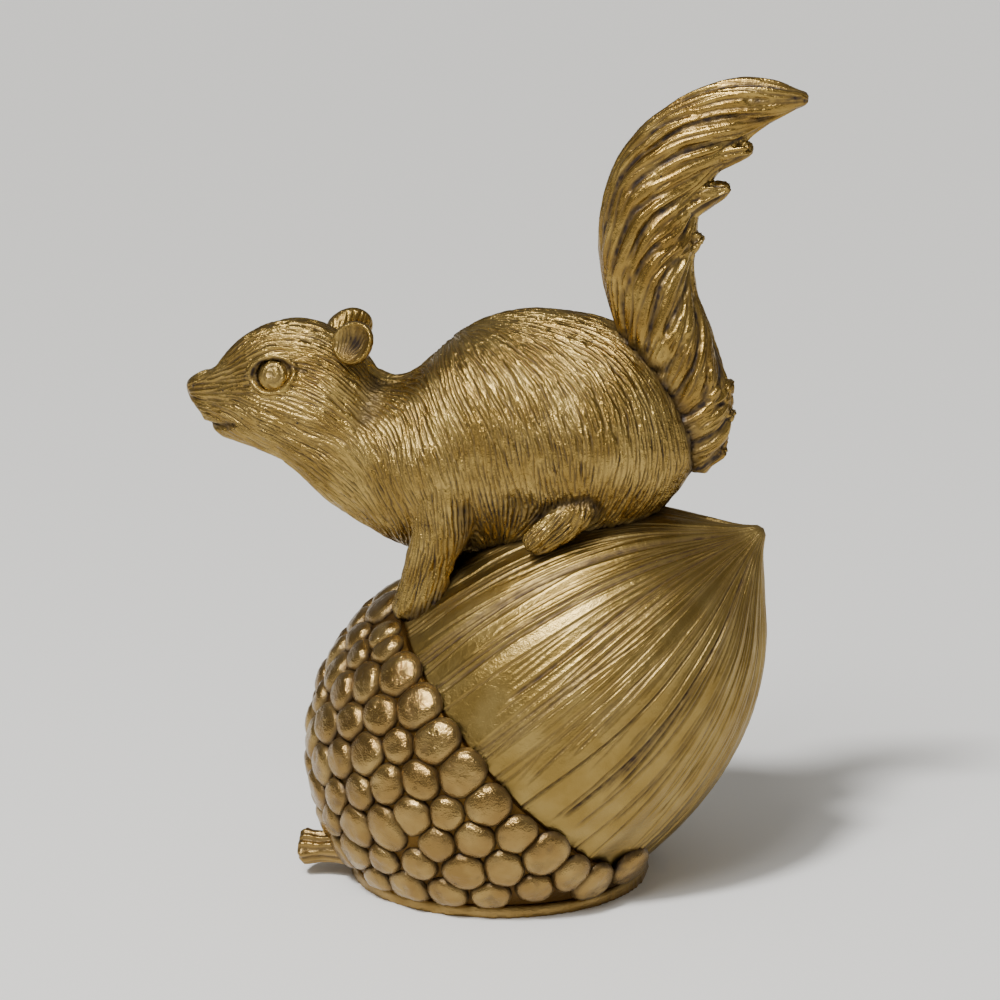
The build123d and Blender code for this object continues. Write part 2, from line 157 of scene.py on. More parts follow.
# %% Colours and nodes
def linear(hex_colour):
    channels = [int(hex_colour[i : i + 2], 16) / 255 for i in (1, 3, 5)]
    straight = [c / 12.92 if c <= 0.04045 else ((c + 0.055) / 1.055) ** 2.4 for c in channels]
    return (*straight, 1.0)


def add_node(tree, kind, sockets=None, **settings):
    """Adds a node. A socket is linked if its value is another node's output, and is set to it otherwise."""
    node = tree.nodes.new(kind)
    for key, value in settings.items():
        setattr(node, key, value)
    for socket, value in (sockets or {}).items():
        if isinstance(value, bpy.types.NodeSocket):
            tree.links.new(value, node.inputs[socket])
        else:
            node.inputs[socket].default_value = value
    return node


def new_material(name):
    """A material, its nodes and its main shader."""
    material = bpy.data.materials.new(name)
    material.use_nodes = True
    return material, material.node_tree, material.node_tree.nodes["Principled BSDF"]


# %% [markdown]
# ## Bronze powder paint with a brown stain
#
# The real finish is bronze powder in lacquer, sprayed on the resin and then wiped with a thin brown stain.
# The powder makes it a metal that is neither mirror nor satin, and its grain gives many small glints.
# The spray lies thick and thin, which gives slow pale clouds. The stain stays in the grooves and dulls them.
# A painted picture could hold all this, but patterns worked out from real sizes stay sharp on every piece.

# %% Sizes in the paint
# Clouds of thick and thin spray
spray_size = 9.0 * mm
# Blotches of stain along a groove
stain_size = 2.2 * mm
# Air bubbles in the resin, of which only some are open
bubble_gap = 5.2 * mm
# Real powder is ten times finer and would not show, so its grain is drawn coarser
grain_size = 0.35 * mm
grain_height = 0.17 * mm
# Orange peel of the lacquer
peel_size = 1.6 * mm
peel_height = 0.35 * mm
print("grain of the paint:", grain_size / mm, "mm wide")

# %% [markdown]
# The paint is one function, because the six paints differ only in tone, gloss and grain.
# Where the attribute "depth" is high the colour turns to the stain, and the metal gets duller. On some pieces
# the attribute also holds painted shade, which darkens the paint in the same way.

# %% Paint
def gold_paint(name, gold, pale, stain, roughness, sparkle, pinholes=0.3):
    material, tree, shader = new_material(name)
    place = add_node(tree, "ShaderNodeTexCoord").outputs["Object"]
    depth = add_node(tree, "ShaderNodeAttribute", attribute_name="depth").outputs["Fac"]

    # Spray
    spray = add_node(tree, "ShaderNodeTexNoise", {"Vector": place, "Scale": 1 / spray_size, "Detail": 3.0})
    thin = add_node(
        tree, "ShaderNodeMapRange", {"Value": spray.outputs["Fac"], "From Min": 0.4, "From Max": 0.68}
    )
    tones = {0: thin.outputs["Result"], 6: linear(gold), 7: linear(pale)}
    paint = add_node(tree, "ShaderNodeMix", tones, data_type="RGBA")

    # Stain, uneven along the grooves, and painted shade where the depth attribute holds it
    blotch = add_node(tree, "ShaderNodeTexNoise", {"Vector": place, "Scale": 1 / stain_size, "Detail": 4.0})
    blotch_range = {"From Min": 0.25, "From Max": 0.75, "To Min": 0.5, "To Max": 1.3}
    gain = add_node(tree, "ShaderNodeMapRange", {"Value": blotch.outputs["Fac"], **blotch_range})
    both = {0: depth, 1: gain.outputs["Result"]}
    stain_and_shade = add_node(tree, "ShaderNodeMath", both, operation="MULTIPLY", use_clamp=True)

    # Pinholes where a bubble broke open
    bubbles = add_node(tree, "ShaderNodeTexVoronoi", {"Vector": place, "Scale": 1 / bubble_gap})
    hole_range = {"From Min": 0.05, "From Max": 0.085, "To Min": 1.0, "To Max": 0.0}
    hole = add_node(tree, "ShaderNodeMapRange", {"Value": bubbles.outputs["Distance"], **hole_range})
    lot = add_node(tree, "ShaderNodeSeparateColor", {"Color": bubbles.outputs["Color"]}).outputs[0]
    drawn = add_node(tree, "ShaderNodeMath", {0: lot, 1: 1 - pinholes}, operation="GREATER_THAN")
    both = {0: hole.outputs["Result"], 1: drawn.outputs[0]}
    pinhole = add_node(tree, "ShaderNodeMath", both, operation="MULTIPLY")
    both = {0: stain_and_shade.outputs[0], 1: pinhole.outputs[0]}
    dark = add_node(tree, "ShaderNodeMath", both, operation="MAXIMUM", use_clamp=True).outputs[0]

    # Powder grain, and orange peel over it
    grain = add_node(tree, "ShaderNodeTexNoise", {"Vector": place, "Scale": 1 / grain_size, "Detail": 2.0})
    raised = {"Height": grain.outputs["Fac"], "Strength": sparkle, "Distance": grain_height}
    grain_bump = add_node(tree, "ShaderNodeBump", raised)
    peel = add_node(tree, "ShaderNodeTexNoise", {"Vector": place, "Scale": 1 / peel_size, "Detail": 3.0})
    raised = {"Height": peel.outputs["Fac"], "Strength": sparkle, "Distance": peel_height}
    peel_bump = add_node(tree, "ShaderNodeBump", {"Normal": grain_bump.outputs["Normal"], **raised})

    # What the shader gets
    tones = {0: dark, 6: paint.outputs[2], 7: linear(stain)}
    colour = add_node(tree, "ShaderNodeMix", tones, data_type="RGBA")
    metal = add_node(tree, "ShaderNodeMapRange", {"Value": dark, "To Min": 1.0, "To Max": 0.35})
    dull = {"To Min": roughness, "To Max": roughness + 0.25}
    rough = add_node(tree, "ShaderNodeMapRange", {"Value": dark, **dull})
    tree.links.new(colour.outputs[2], shader.inputs["Base Color"])
    tree.links.new(metal.outputs["Result"], shader.inputs["Metallic"])
    tree.links.new(rough.outputs["Result"], shader.inputs["Roughness"])
    tree.links.new(peel_bump.outputs["Normal"], shader.inputs["Normal"])
    print("paint:", name)
    return material


# Glints on every ridge of the strokes, and nearly black between them
fur_paint = gold_paint("Bronze paint on carved fur", "#8A703A", "#A98F52", "#241508", 0.24, 0.9)
# As glossy, with less grain, so that the long locks read as smooth strands
tail_paint = gold_paint("Bronze paint on carved locks", "#866A35", "#A2874A", "#241508", 0.25, 0.5)
# Duller, because the many scores broke up the gloss
nut_paint = gold_paint("Bronze paint on scored resin", "#8A723D", "#9A834D", "#34200D", 0.33, 0.45, 0.05)
# The glossiest, so each domed pad carries its own broad highlight
scale_paint = gold_paint("Bronze paint on dented pads", "#886D3F", "#A18753", "#26170A", 0.22, 0.7, 0.05)
# Dark brown and dull between the pads: partly the brown stain, partly painted shade of the deep gaps
ground_stain_and_shade_paint = gold_paint("Dark bronze paint, stained, with painted shade", "#4A3517", "#6A4E24", "#1A0F06", 0.5, 0.6, 0.0)
# Smooth resin, an even soft sheen
plain_paint = gold_paint("Bronze paint on smooth resin", "#8A7040", "#A08552", "#281809", 0.3, 0.7, 0.1)

# %% [markdown]
# ## Steel for the dowels
#
# The dowels are bright steel rod, drawn through a die. They are never seen.
# Drawing leaves fine streaks, so the gloss varies a little from place to place.

# %% Steel
streak_size = 0.4 * mm
steel, tree, shader = new_material("Drawn steel rod")
shader.inputs["Base Color"].default_value = linear("#A8ABB0")
shader.inputs["Metallic"].default_value = 1.0
place = add_node(tree, "ShaderNodeTexCoord").outputs["Object"]
streaks = add_node(tree, "ShaderNodeTexNoise", {"Vector": place, "Scale": 1 / streak_size})
rough = add_node(tree, "ShaderNodeMapRange", {"Value": streaks.outputs["Fac"], "To Min": 0.2, "To Max": 0.4})
tree.links.new(rough.outputs["Result"], shader.inputs["Roughness"])
print("steel:", steel.name)

# %% [markdown]
# ## Handing a piece over
#
# Every finished piece gets its paint here, rides on the one body that the ornament has,
# and takes the place of the solid that it was made for.

# %% Handing over
def hand_over(piece, material, slot, *node_names):
    piece.data.materials.clear()
    piece.data.materials.append(material)
    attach(piece, "root")
    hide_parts(*node_names)
    print(piece.name, "triangles", sum(len(p.vertices) - 2 for p in piece.data.polygons))


# %% [markdown]
# ## Which way the hair is combed
#
# The carver combed the fur from the nose back over the cheeks, then ever more downwards over the flank.
# The table holds a few places on the squirrel's side, x and z in millimetres, and how the hair lies there.
# In between, the nearest places count most, so the hair turns slowly from one to the next.

# %% Combing
fur_comb = np.array([
    # x, z, combed along x, combed along z
    (11, 144, 1.0, -0.75), (21, 137, 1.0, -1.0), (34, 132, 0.45, -1.0), (40, 119, 0.1, -1.0),
    (32, 108, -0.2, -1.0), (19, 123, 0.45, -1.0), (19, 107, 0.1, -1.0), (0, 136, 0.8, -1.0),
    (-5, 125, 0.6, -1.0), (-19, 116, 0.5, -1.0), (-24, 125, 1.0, -0.6), (-19, 106, 0.35, -1.0),
    (0, 106, 0.15, -1.0), (-8, 98, 0.1, -1.0), (-20, 81, -0.3, -1.0), (19, 92, -0.75, -0.66),
    (-68, 126, 1.0, 0.1), (-64, 134, 1.0, 0.7), (-51, 139, 1.0, 0.0), (-55, 123, 1.0, -0.15),
    (-61, 117, 1.0, -0.5), (-43, 113, 1.0, -0.3), (-35, 121, 0.8, -0.6), (-33, 129, 0.8, -0.6),
    (-39, 108, 0.8, -0.6), (-30, 108, 0.45, -1.0),
])
tail_comb = np.array([
    (38, 178, 1.0, 0.65), (31, 163, 0.5, 1.0), (46, 163, 1.0, 0.55), (36, 147, 0.15, 1.0),
    (47, 147, 0.55, 1.0), (43, 140, 0.5, 1.0), (51, 132, 0.4, 1.0), (55, 121, 0.9, 0.45),
    (51, 111, 1.0, 0.45), (50, 195, 1.0, 0.3), (64, 198, 1.0, -0.05), (55, 188, 1.0, 0.1),
    (48, 179, 1.0, 0.3), (36, 188, 0.8, 0.8), (28, 173, 0.2, 1.0),
])


def combed(points, comb, reach=6.0):
    """Unit direction of the hair at each point, from the comb table."""
    away = (points[:, None, 0] - comb[None, :, 0]) ** 2 + (points[:, None, 2] - comb[None, :, 1]) ** 2
    weight = 1 / (away + reach**2) ** 2
    direction = weight @ unit(comb[:, 2:])
    return unit(np.stack([direction[:, 0], np.zeros(len(points)), direction[:, 1]], axis=1))


print("combed places:", len(fur_comb), "on the fur and", len(tail_comb), "on the tail")

# %% [markdown]
# ## Drawing the cloud out into grooves
#
# A carver's fur is many fine grooves side by side, each as long as a short stroke.
# Averaging the random cloud along the combing draws it out into lines, but they come out stronger and weaker.
# So the cloud is read at the left, in the middle and at the right of each point.
# Together the three say where the point lies between two grooves, and every groove gets the same depth.

# %% Grooves
# Keeps the lines soft where the cloud says nothing
groove_softness = 0.12


def lay(points, normals, comb):
    """The combing, laid down on the skin."""
    way = combed(points, comb)
    return unit(way - normals * np.sum(way * normals, axis=1, keepdims=True))


def grooves(points, normals, comb, spacing, length, seed):
    """Even lines along the combing: -1 in a groove, and 1 on the ridge between two grooves."""
    way = lay(points, normals, comb)
    ahead = lay(points + way * length / 4, normals, comb)
    behind = lay(points - way * length / 4, normals, comb)
    bend = (ahead - behind) / (length / 2)
    cloud_size = 0.5 * spacing
    aside = np.cross(way, normals) * (cloud_size / 2)
    slope = np.zeros(len(points))
    swing = np.zeros(len(points))
    # At least one look into each cell of the cloud along the stroke
    looks = max(13, round(2.4 * length / spacing))
    for share in np.linspace(-0.5, 0.5, looks):
        run = share * length
        place = points + way * run + bend * (run**2 / 2)
        weight = math.cos(math.pi * share) ** 2
        left, middle, right = (soft_noise(place + aside * step, cloud_size, seed) for step in (-1, 0, 1))
        slope += weight * (left - right)
        swing += weight * (2 * middle - left - right)
    slope, swing = slope / slope.std(), swing / swing.std()
    return swing / np.sqrt(slope**2 + swing**2 + groove_softness)


# %% [markdown]
# ## Soft domes and creases
#
# A face is not drawn, it is pushed: a thumb leaves a soft hollow and a tool leaves a crease.
# `near` is the thumb, `crease` is the tool, and `along_path` leads the tool over a bent line.

# %% Domes and creases
def near(points, middle, radius):
    """1 at a place, and 0 at `radius` from it and beyond."""
    away = np.linalg.norm((points - np.asarray(middle)) / np.asarray(radius), axis=1)
    return np.clip(1 - away**2, 0, 1) ** 2


def crease(across, half_width):
    """1 on a line and 0 from half_width on, for distances across the line."""
    return np.clip(1 - (across / half_width) ** 2, 0, 1) ** 2


def along_path(points, path):
    """Distance in x and z from each point to a path of (x, z) corners."""
    best = np.full(len(points), 1e9)
    flat = points[:, [0, 2]]
    for start, end in zip(path[:-1], path[1:]):
        start, end = np.array(start, float), np.array(end, float)
        run = end - start
        share = np.clip((flat - start) @ run / (run @ run), 0, 1)
        best = np.minimum(best, np.linalg.norm(flat - start - share[:, None] * run, axis=1))
    return best


# %% [markdown]
# ## How the squirrel sits on the acorn
#
# Where fur meets the nut there is no gap on the casting. `settle` finds the points a little above the nut
# or the cup and lowers them until they touch. For that it needs the outline that the nut is turned to.

# %% Settling
# Share of the nut's length, and share of its radius at the rim
nut_outline = np.array([
    (0.0, 1.0), (0.21, 0.971), (0.42, 0.882), (0.6, 0.735),
    (0.75, 0.528), (0.875, 0.262), (0.95, 0.107), (1.0, 0.031),
])


def smooth_curve(knots, values, where):
    """Smooth curve through the knots, by averaging neighbouring slopes."""
    slopes = np.gradient(values, knots)
    index = np.clip(np.searchsorted(knots, where) - 1, 0, len(knots) - 2)
    span = knots[index + 1] - knots[index]
    t = (where - knots[index]) / span
    start, end = values[index], values[index + 1]
    rise = span * ((t**3 - 2 * t**2 + t) * slopes[index] + (t**3 - t**2) * slopes[index + 1])
    return start + (3 * t**2 - 2 * t**3) * (end - start) + rise


def nut_radius(share):
    return smooth_curve(nut_outline[:, 0], nut_outline[:, 1], share) * nut_rim_radius


def above_acorn(points):
    """Height above the nut or cup in millimetres, and the way straight out of it."""
    arm = points - cup_centre
    along = arm @ acorn_axis
    spoke = arm - along[:, None] * acorn_axis
    radius = np.linalg.norm(spoke, axis=1)
    share = np.clip((along - rim_ahead) / nut_length, 0, 1)
    step = 0.01
    skin = nut_radius(share)
    slope = (nut_radius(np.clip(share + step, 0, 1)) - skin) / (step * nut_length)
    out = unit(unit(spoke) - slope[:, None] * acorn_axis)
    nut_height = (radius - skin) / np.sqrt(1 + slope**2)
    cup_height = np.linalg.norm(arm, axis=1) - cup_radius
    on_cup = along < rim_ahead
    out[on_cup] = unit(arm[on_cup])
    return np.where(on_cup, cup_height, nut_height), out


def settle(points, reach=2.0, sink=0.6):
    """Lowers what is less than `reach` above the acorn by up to `sink`."""
    height, out = above_acorn(points)
    close = np.clip(1 - height / reach, 0, 1) * (height > -sink)
    return points - out * (sink * close)[:, None]


print("nut radius half way along:", nut_radius(np.array([0.5])).round(1), "mm")

# %% [markdown]
# ## Where two pieces meet
#
# Stain gathers where one form runs into another. A tree of a solid's faces finds the nearest one quickly,
# so each point can be told how close it is to an ear, a foot or the tail.

# %% Closeness
def closeness(points, node_name, reach):
    """1 where a point touches a solid of the frame, and 0 from `reach` millimetres away."""
    low, high = (np.array(corner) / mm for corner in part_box(node_name))
    mesh = nodes[node_name].data
    corners = [vertex.co / mm for vertex in mesh.vertices]
    tree = BVHTree.FromPolygons(corners, [list(face.vertices) for face in mesh.polygons])
    found = np.zeros(len(points))
    inside_box = ((points > low - reach) & (points < high + reach)).all(axis=1)
    for index in np.nonzero(inside_box)[0]:
        distance = tree.find_nearest(points[index], reach)[3]
        if distance is not None:
            found[index] = 1 - distance / reach
    return found


def seam(points, first_node, second_node, reach):
    """1 where two solids of the frame meet, and 0 from `reach` millimetres away from either."""
    found = closeness(points, first_node, reach)
    close = found > 0
    found[close] *= closeness(points[close], second_node, reach)
    return found


# %% [markdown]
# ## Features of the face
#
# Nose, mouth, cheeks and eyelids are pushed in or out of the smooth skin, each a soft dome or furrow.
# `wash` keeps the brown stain that lies in the deep ones, and round the eyes painted shade as well. Both
# sides are alike, so only one is described.
# The opening between the eyelids is an almond, so it is drawn by its reach every 30 degrees.

# %% The eye's place
eye_middle = np.array([-55.3, -12.6, 128.8])
eye_outward = unit(np.array([0.0, -0.948, 0.318]))
eye_along = unit(np.array([1.0, 0.03, 0.1]))
eye_upward = np.cross(eye_along, eye_outward) * -1
mirrored = np.array([1.0, -1.0, 1.0])
full_turn = np.arange(0, 360, 2.0)


def even_round(values, rounds):
    """Averages each value on a ring with its neighbours, again and again."""
    for _ in range(rounds):
        values = 0.5 * values + 0.25 * (np.roll(values, 1) + np.roll(values, -1))
    return values


# From the outer corner over the top
lid_knots = [5.4, 4.6, 3.8, 3.5, 3.7, 4.2, 4.9, 4.4, 4.2, 4.2, 4.3, 4.6, 5.4]
lid_reach = even_round(np.interp(full_turn, np.arange(0, 390, 30), lid_knots), 20)
print("eye opening reaches from", lid_reach.min().round(2), "to", lid_reach.max().round(2), "mm")


def eye_places(points, side):
    """Places round one eye: along it, up it, out of it, and the share of the opening."""
    arm = (points if side == 1 else points * mirrored) - eye_middle
    u, v, w = arm @ eye_along, arm @ eye_upward, arm @ eye_outward
    turn = np.degrees(np.arctan2(v, u)) % 360
    return u, v, w, np.hypot(u, v) / np.interp(turn, full_turn, lid_reach, period=360)


# %% [markdown]
# The bead lies in a socket under a heavy upper lid. Each lid is a narrow ridge that follows the opening:
# its height is a bell curve of how far a point lies outside it. A fold runs back from the outer corner.

# %% Eyelids
def eye_features(points):
    """Socket, lids and brow of both eyes: heights, stain with painted shade, and where no hair grows."""
    height, wash, bald = (np.zeros(len(points)) for _ in range(3))
    for side in (1, -1):
        u, v, w, opening = eye_places(points, side)
        here = (np.abs(w) < 5) & (np.abs(u) < 13) & (np.abs(v) < 11)
        upper = np.clip(0.5 + (v - 0.1 * u) / 1.2, 0, 1)
        # Socket, upper lid, lower lid and the line below it
        height -= 0.9 * here * np.clip((1.08 - opening) / 0.16, 0, 1)
        height += 0.85 * here * upper * np.exp(-(((opening - 1.2) / 0.2) ** 2))
        height += 0.45 * here * (1 - upper) * np.exp(-(((opening - 1.17) / 0.12) ** 2))
        height -= 0.25 * here * (1 - upper) * np.exp(-(((opening - 1.4) / 0.1) ** 2))
        # Fold behind the eye, hollow before it, brow above it
        flat = np.stack([u, w, v], axis=1)
        outer_fold = here * crease(along_path(flat, [(2.9, 3.0), (5.0, 1.8), (6.9, 0.7), (9.0, 0.1)]), 0.75)
        height -= 0.45 * outer_fold
        height -= 0.5 * here * np.exp(-(((u + 7.6) / 2.2) ** 2 + ((v + 1.5) / 3.0) ** 2))
        height += 0.45 * here * np.exp(-(((v - 7.0) / 1.8) ** 2 + ((u - 0.5) / 6.5) ** 2))
        # Painted shade just inside the lids, strongest under the upper lid, and over the socket's upper half
        # and front corner
        lid_painted_shade = np.exp(-(((opening - 1.04) / 0.08) ** 2)) * (0.35 + 0.65 * upper)
        corner = np.clip(upper + np.clip(-u - 2.2, 0, 1), 0, 1)
        socket_painted_shade = 0.85 * corner * np.clip((1.04 - opening) / 0.1, 0, 1)
        wash = np.maximum(wash, here * np.maximum(socket_painted_shade, np.maximum(lid_painted_shade, 0.75 * outer_fold)))
        bald = np.maximum(bald, here * np.clip((1.4 - opening) / 0.2, 0, 1))
    return height, wash, bald


# %% [markdown]
# The rest of the face is a table of domes and hollows, the mouth, the nostrils and the neck's fold.

# %% Face
face_domes = [
    # height, middle on one side (x, y, z), radius, all in millimetres
    # The bridge of the nose, its tip and the chin
    (-0.9, (-73.0, 0.0, 128.5), (4.5, 5.0, 3.5)),
    (0.15, (-77.5, 0.0, 124.8), 3.5),
    (0.5, (-71.5, 0.0, 110.5), 4.5),
    # The whisker pad, the cheek and the swelling below the ear
    (0.5, (-67.5, 6.5, 120.0), 6.0),
    (0.9, (-45.0, 15.0, 119.0), 9.5),
    (0.7, (-39.5, 14.5, 127.0), 6.5),
]
mouth_path = [(-76.5, 113.2), (-71.0, 113.6), (-67.0, 114.3)]
neck_path = [(-31.5, 134.0), (-29.5, 127.0), (-31.0, 119.0)]


def on_one_side(points):
    """The same points with both sides of the squirrel laid onto one."""
    return np.stack([points[:, 0], np.abs(points[:, 1]), points[:, 2]], axis=1)


def face_features(points):
    height, wash, _ = eye_features(points)
    folded = on_one_side(points)
    mouth = crease(along_path(points, mouth_path), 1.5)
    nostril = near(folded, (-78.0, 2.9, 123.1), 1.1)
    neck = crease(along_path(points, neck_path), 5.0) * (folded[:, 1] > 4)
    height -= 0.8 * mouth
    height -= 0.8 * nostril
    for dome_height, middle, radius in face_domes:
        height += dome_height * near(folded, middle, radius)
    height -= 0.7 * neck
    for stain in (0.75 * mouth, np.clip(nostril * 2, 0, 1), 0.7 * neck):
        wash = np.maximum(wash, stain)
    for ear_node in ("ear_left", "ear_right"):
        wash = np.maximum(wash, 0.7 * closeness(points, ear_node, 1.8))
    return height, wash


# %% [markdown]
# ## Features of the body
#
# Shoulder and haunch swell, and the folds in front of the thigh and behind the elbow are sunk.
# The stain gathers in them, along the hind feet, above the nut and where the tail grows out.

# %% Body
elbow_path = [(-6.5, 84.0), (-4.0, 91.0), (-5.0, 98.0)]


def body_features(points):
    folded = on_one_side(points)
    shoulder = near(folded, (-14.0, 21.0, 106.0), 13.0)
    haunch = near(folded, (25.0, 23.0, 112.0), 17.0)
    thigh_fold = near(folded, (9.0, 21.0, 99.0), (7.0, 12.0, 6.0))
    elbow_fold = crease(along_path(points, elbow_path), 3.4) * (folded[:, 1] > 9)
    height = 1.3 * shoulder
    height += 1.0 * haunch
    height -= 1.0 * thigh_fold + 0.8 * elbow_fold
    wash = np.maximum(0.35 * thigh_fold, 0.6 * elbow_fold)
    for foot_node in ("hind_foot_left", "hind_foot_right"):
        foot_seam = seam(points, foot_node, "torso", 2.4)
        height -= 0.5 * foot_seam
        wash = np.maximum(wash, np.clip(1.2 * foot_seam, 0, 0.8))
    height_above, _ = above_acorn(points)
    wash = np.maximum(wash, 0.9 * np.clip(1 - height_above / 2.6, 0, 1))
    wash = np.maximum(wash, closeness(points, "tail", 3.0))
    return height, wash


# %% [markdown]
# ## Starting and joining pieces
#
# A new form starts as a ball, whose points are then moved to where the form needs them.
# An operator acts on all that is selected, so everything else is deselected before each step.

# %% Starting a piece
def select_only(piece):
    bpy.ops.object.select_all(action="DESELECT")
    piece.select_set(True)
    bpy.context.view_layer.objects.active = piece


def fresh_ball(name, segments, rings):
    """A ball, and its points as shares of its radius."""
    bpy.ops.object.select_all(action="DESELECT")
    bpy.ops.mesh.primitive_uv_sphere_add(segments=segments, ring_count=rings, radius=1.0)
    piece = bpy.context.object
    piece.name = name
    return piece, read_points(piece) * mm


def finish_skin(piece):
    """Turns all faces outwards and shades them smooth."""
    select_only(piece)
    bpy.ops.object.mode_set(mode="EDIT")
    bpy.ops.mesh.select_all(action="SELECT")
    bpy.ops.mesh.normals_make_consistent(inside=False)
    bpy.ops.object.mode_set(mode="OBJECT")
    bpy.ops.object.shade_smooth()


def join_onto(piece, *others):
    select_only(piece)
    for other in others:
        other.select_set(True)
    bpy.ops.object.join()


# %% [markdown]
# A skin starts as a copy of solids from the CAD model, whose loose triangles are merged.
# A voxel remesh then gives one closed skin of small even faces, which is what fine carving needs,
# and relaxing it takes the steps out of the new faces.

# %% Skins
# Corners of loose triangles that lie closer than this are one
weld_distance = 0.002 * mm


def copy_nodes(name, *node_names):
    joined = bmesh.new()
    for node_name in node_names:
        joined.from_mesh(nodes[node_name].data)
    bmesh.ops.remove_doubles(joined, verts=joined.verts, dist=weld_distance)
    mesh = bpy.data.meshes.new(name)
    joined.to_mesh(mesh)
    joined.free()
    piece = bpy.data.objects.new(name, mesh)
    bpy.context.scene.collection.objects.link(piece)
    return piece


def remesh(piece, size):
    """Even faces of `size` millimetres, one closed skin from all the forms inside it."""
    select_only(piece)
    modifier = piece.modifiers.new("Even faces", "REMESH")
    modifier.mode = "VOXEL"
    modifier.voxel_size = size * mm
    modifier.use_smooth_shade = True
    bpy.ops.object.modifier_apply(modifier=modifier.name)


def relax(piece, rounds):
    select_only(piece)
    modifier = piece.modifiers.new("Relax", "SMOOTH")
    modifier.iterations = rounds
    modifier.factor = 0.5
    bpy.ops.object.modifier_apply(modifier=modifier.name)


# %% [markdown]
# ## The squirrel's coat
#
# Torso, head, legs and feet are one casting, so their solids are joined and get one new skin.
# Relaxing the skin fills the corners where a leg meets the belly, as clay does.
# The solid forelegs are lean, so a leaning ball makes each paw as full as on the real piece.

# %% Coat
coat_nodes = ("torso", "head", "foreleg_left", "foreleg_right", "hind_foot_left", "hind_foot_right")
coat_face = 0.26
coat_softness = 2.6
paw_x, paw_y, paw_z = -15.4, 18.2, 76.4
paw_size = [4.9, 3.1, 9.0]
paw_lean = 0.38

coat = copy_nodes("coat", *coat_nodes)
for side in (-1, 1):
    paw, ball = fresh_ball("paw", 32, 24)
    points = np.array([paw_x, side * paw_y, paw_z]) + ball * paw_size
    points[:, 0] += paw_lean * (points[:, 2] - paw_z)
    write_points(paw, points)
    join_onto(coat, paw)
remesh(coat, coat_face)
relax(coat, round(coat_softness / coat_face**2))
coat_points = settle(read_points(coat))
write_points(coat, coat_points)
face_height, face_stain_and_shade = face_features(coat_points)
body_height, body_wash = body_features(coat_points)
coat_points = coat_points + read_normals(coat) * (face_height + body_height)[:, None]
write_points(coat, coat_points)
print("coat points:", len(coat_points))

# %% [markdown]
# ## Fur
#
# The fur is fine grooves over broad clumps of hair. The nose and the eyelids stay bald.
# On the hind feet the hair is cut deeper than elsewhere, and under the belly the grooves are a little deeper
# and carry painted shade.

# %% Fur
hair_gap, hair_length = 1.15, 7.5
clump_gap, clump_length = 4.5, 18.0
folded = on_one_side(coat_points)
coat_normals = read_normals(coat)
fur_ridges = grooves(coat_points, coat_normals, fur_comb, hair_gap, hair_length, 1)
fur_clumps = grooves(coat_points, coat_normals, fur_comb, clump_gap, clump_length, 2)
fur_uneven = soft_noise(coat_points, 4.0, 3)
bald = np.maximum(eye_features(coat_points)[2], near(coat_points, (-80.0, 0.0, 123.0), 5.5))
fur_strength = (1 - bald) * (1 + 0.7 * near(folded, (20.0, 21.0, 95.0), 13.0))
under_belly = near(folded, (3.0, 20.0, 95.0), (13.0, 14.0, 11.0))
fur_height = (0.22 + 0.08 * fur_uneven + 0.08 * under_belly) * fur_ridges + 0.2 * fur_clumps
write_points(coat, coat_points + coat_normals * (fur_strength * fur_height)[:, None])
wash_share = 0.85 + 0.35 * fur_uneven - 0.2 * fur_clumps
fur_stain_and_shade = np.clip(-1.4 * fur_ridges - 0.4, 0, 1) * wash_share * fur_strength
# Painted shade under the belly, darkest in the grooves between the strokes
fur_stain_and_shade += under_belly * (0.4 - 0.5 * fur_ridges)
write_attribute(coat, "depth", np.clip(np.maximum(fur_stain_and_shade, np.maximum(face_stain_and_shade, body_wash)), 0, 1))
print("fur is cut", np.ptp(fur_strength * fur_height).round(2), "mm deep")

# %% [markdown]
# ## Cutting a heavy skin
#
# The coat is cut across into five parts and the tail into two, so that no single mesh gets too heavy.
# The parts come from one skin and carry the same hair, so the cuts don't show.
# Each cut keeps one side of a plane and closes the hole. The rim of the cut is marked sharp,
# so the flat lid does not bend the shading of the fur beside it.

# %% Cutting
# Far less than a face, or faces beside the plane would fold onto the lid
cut_threshold = 1e-7


def cut_in_parts(whole, axis, parts, material, slot):
    """Cuts a skin across one axis into parts with equally many points, and hands over each part."""
    shares = np.arange(1, len(parts)) / len(parts)
    cuts = [None, *(np.quantile(read_points(whole)[:, axis], shares) * mm), None]
    for (name, node_names), first, last in zip(parts, cuts[:-1], cuts[1:]):
        piece = whole.copy()
        piece.data = whole.data.copy()
        piece.name = name
        bpy.context.scene.collection.objects.link(piece)
        select_only(piece)
        bpy.ops.object.mode_set(mode="EDIT")
        for place, out in ((first, -1), (last, 1)):
            if place is None:
                continue
            bpy.ops.mesh.select_all(action="SELECT")
            on_plane = np.eye(3)[axis]
            bpy.ops.mesh.bisect(
                plane_co=tuple(place * on_plane),
                plane_no=tuple(out * on_plane),
                use_fill=True,
                clear_outer=True,
                threshold=cut_threshold,
            )
            bpy.ops.mesh.mark_sharp()
        bpy.ops.object.mode_set(mode="OBJECT")
        hand_over(piece, material, slot, *node_names)
    bpy.data.objects.remove(whole)


coat_parts = [
    ("coat_head", ["head"]),
    ("coat_neck", ["head", "torso"]),
    ("coat_chest", ["torso", "foreleg_left", "foreleg_right"]),
    ("coat_belly", ["torso", "hind_foot_left", "hind_foot_right"]),
    ("coat_haunches", ["torso"]),
]
cut_in_parts(coat, 0, coat_parts, fur_paint, "fur_gold")

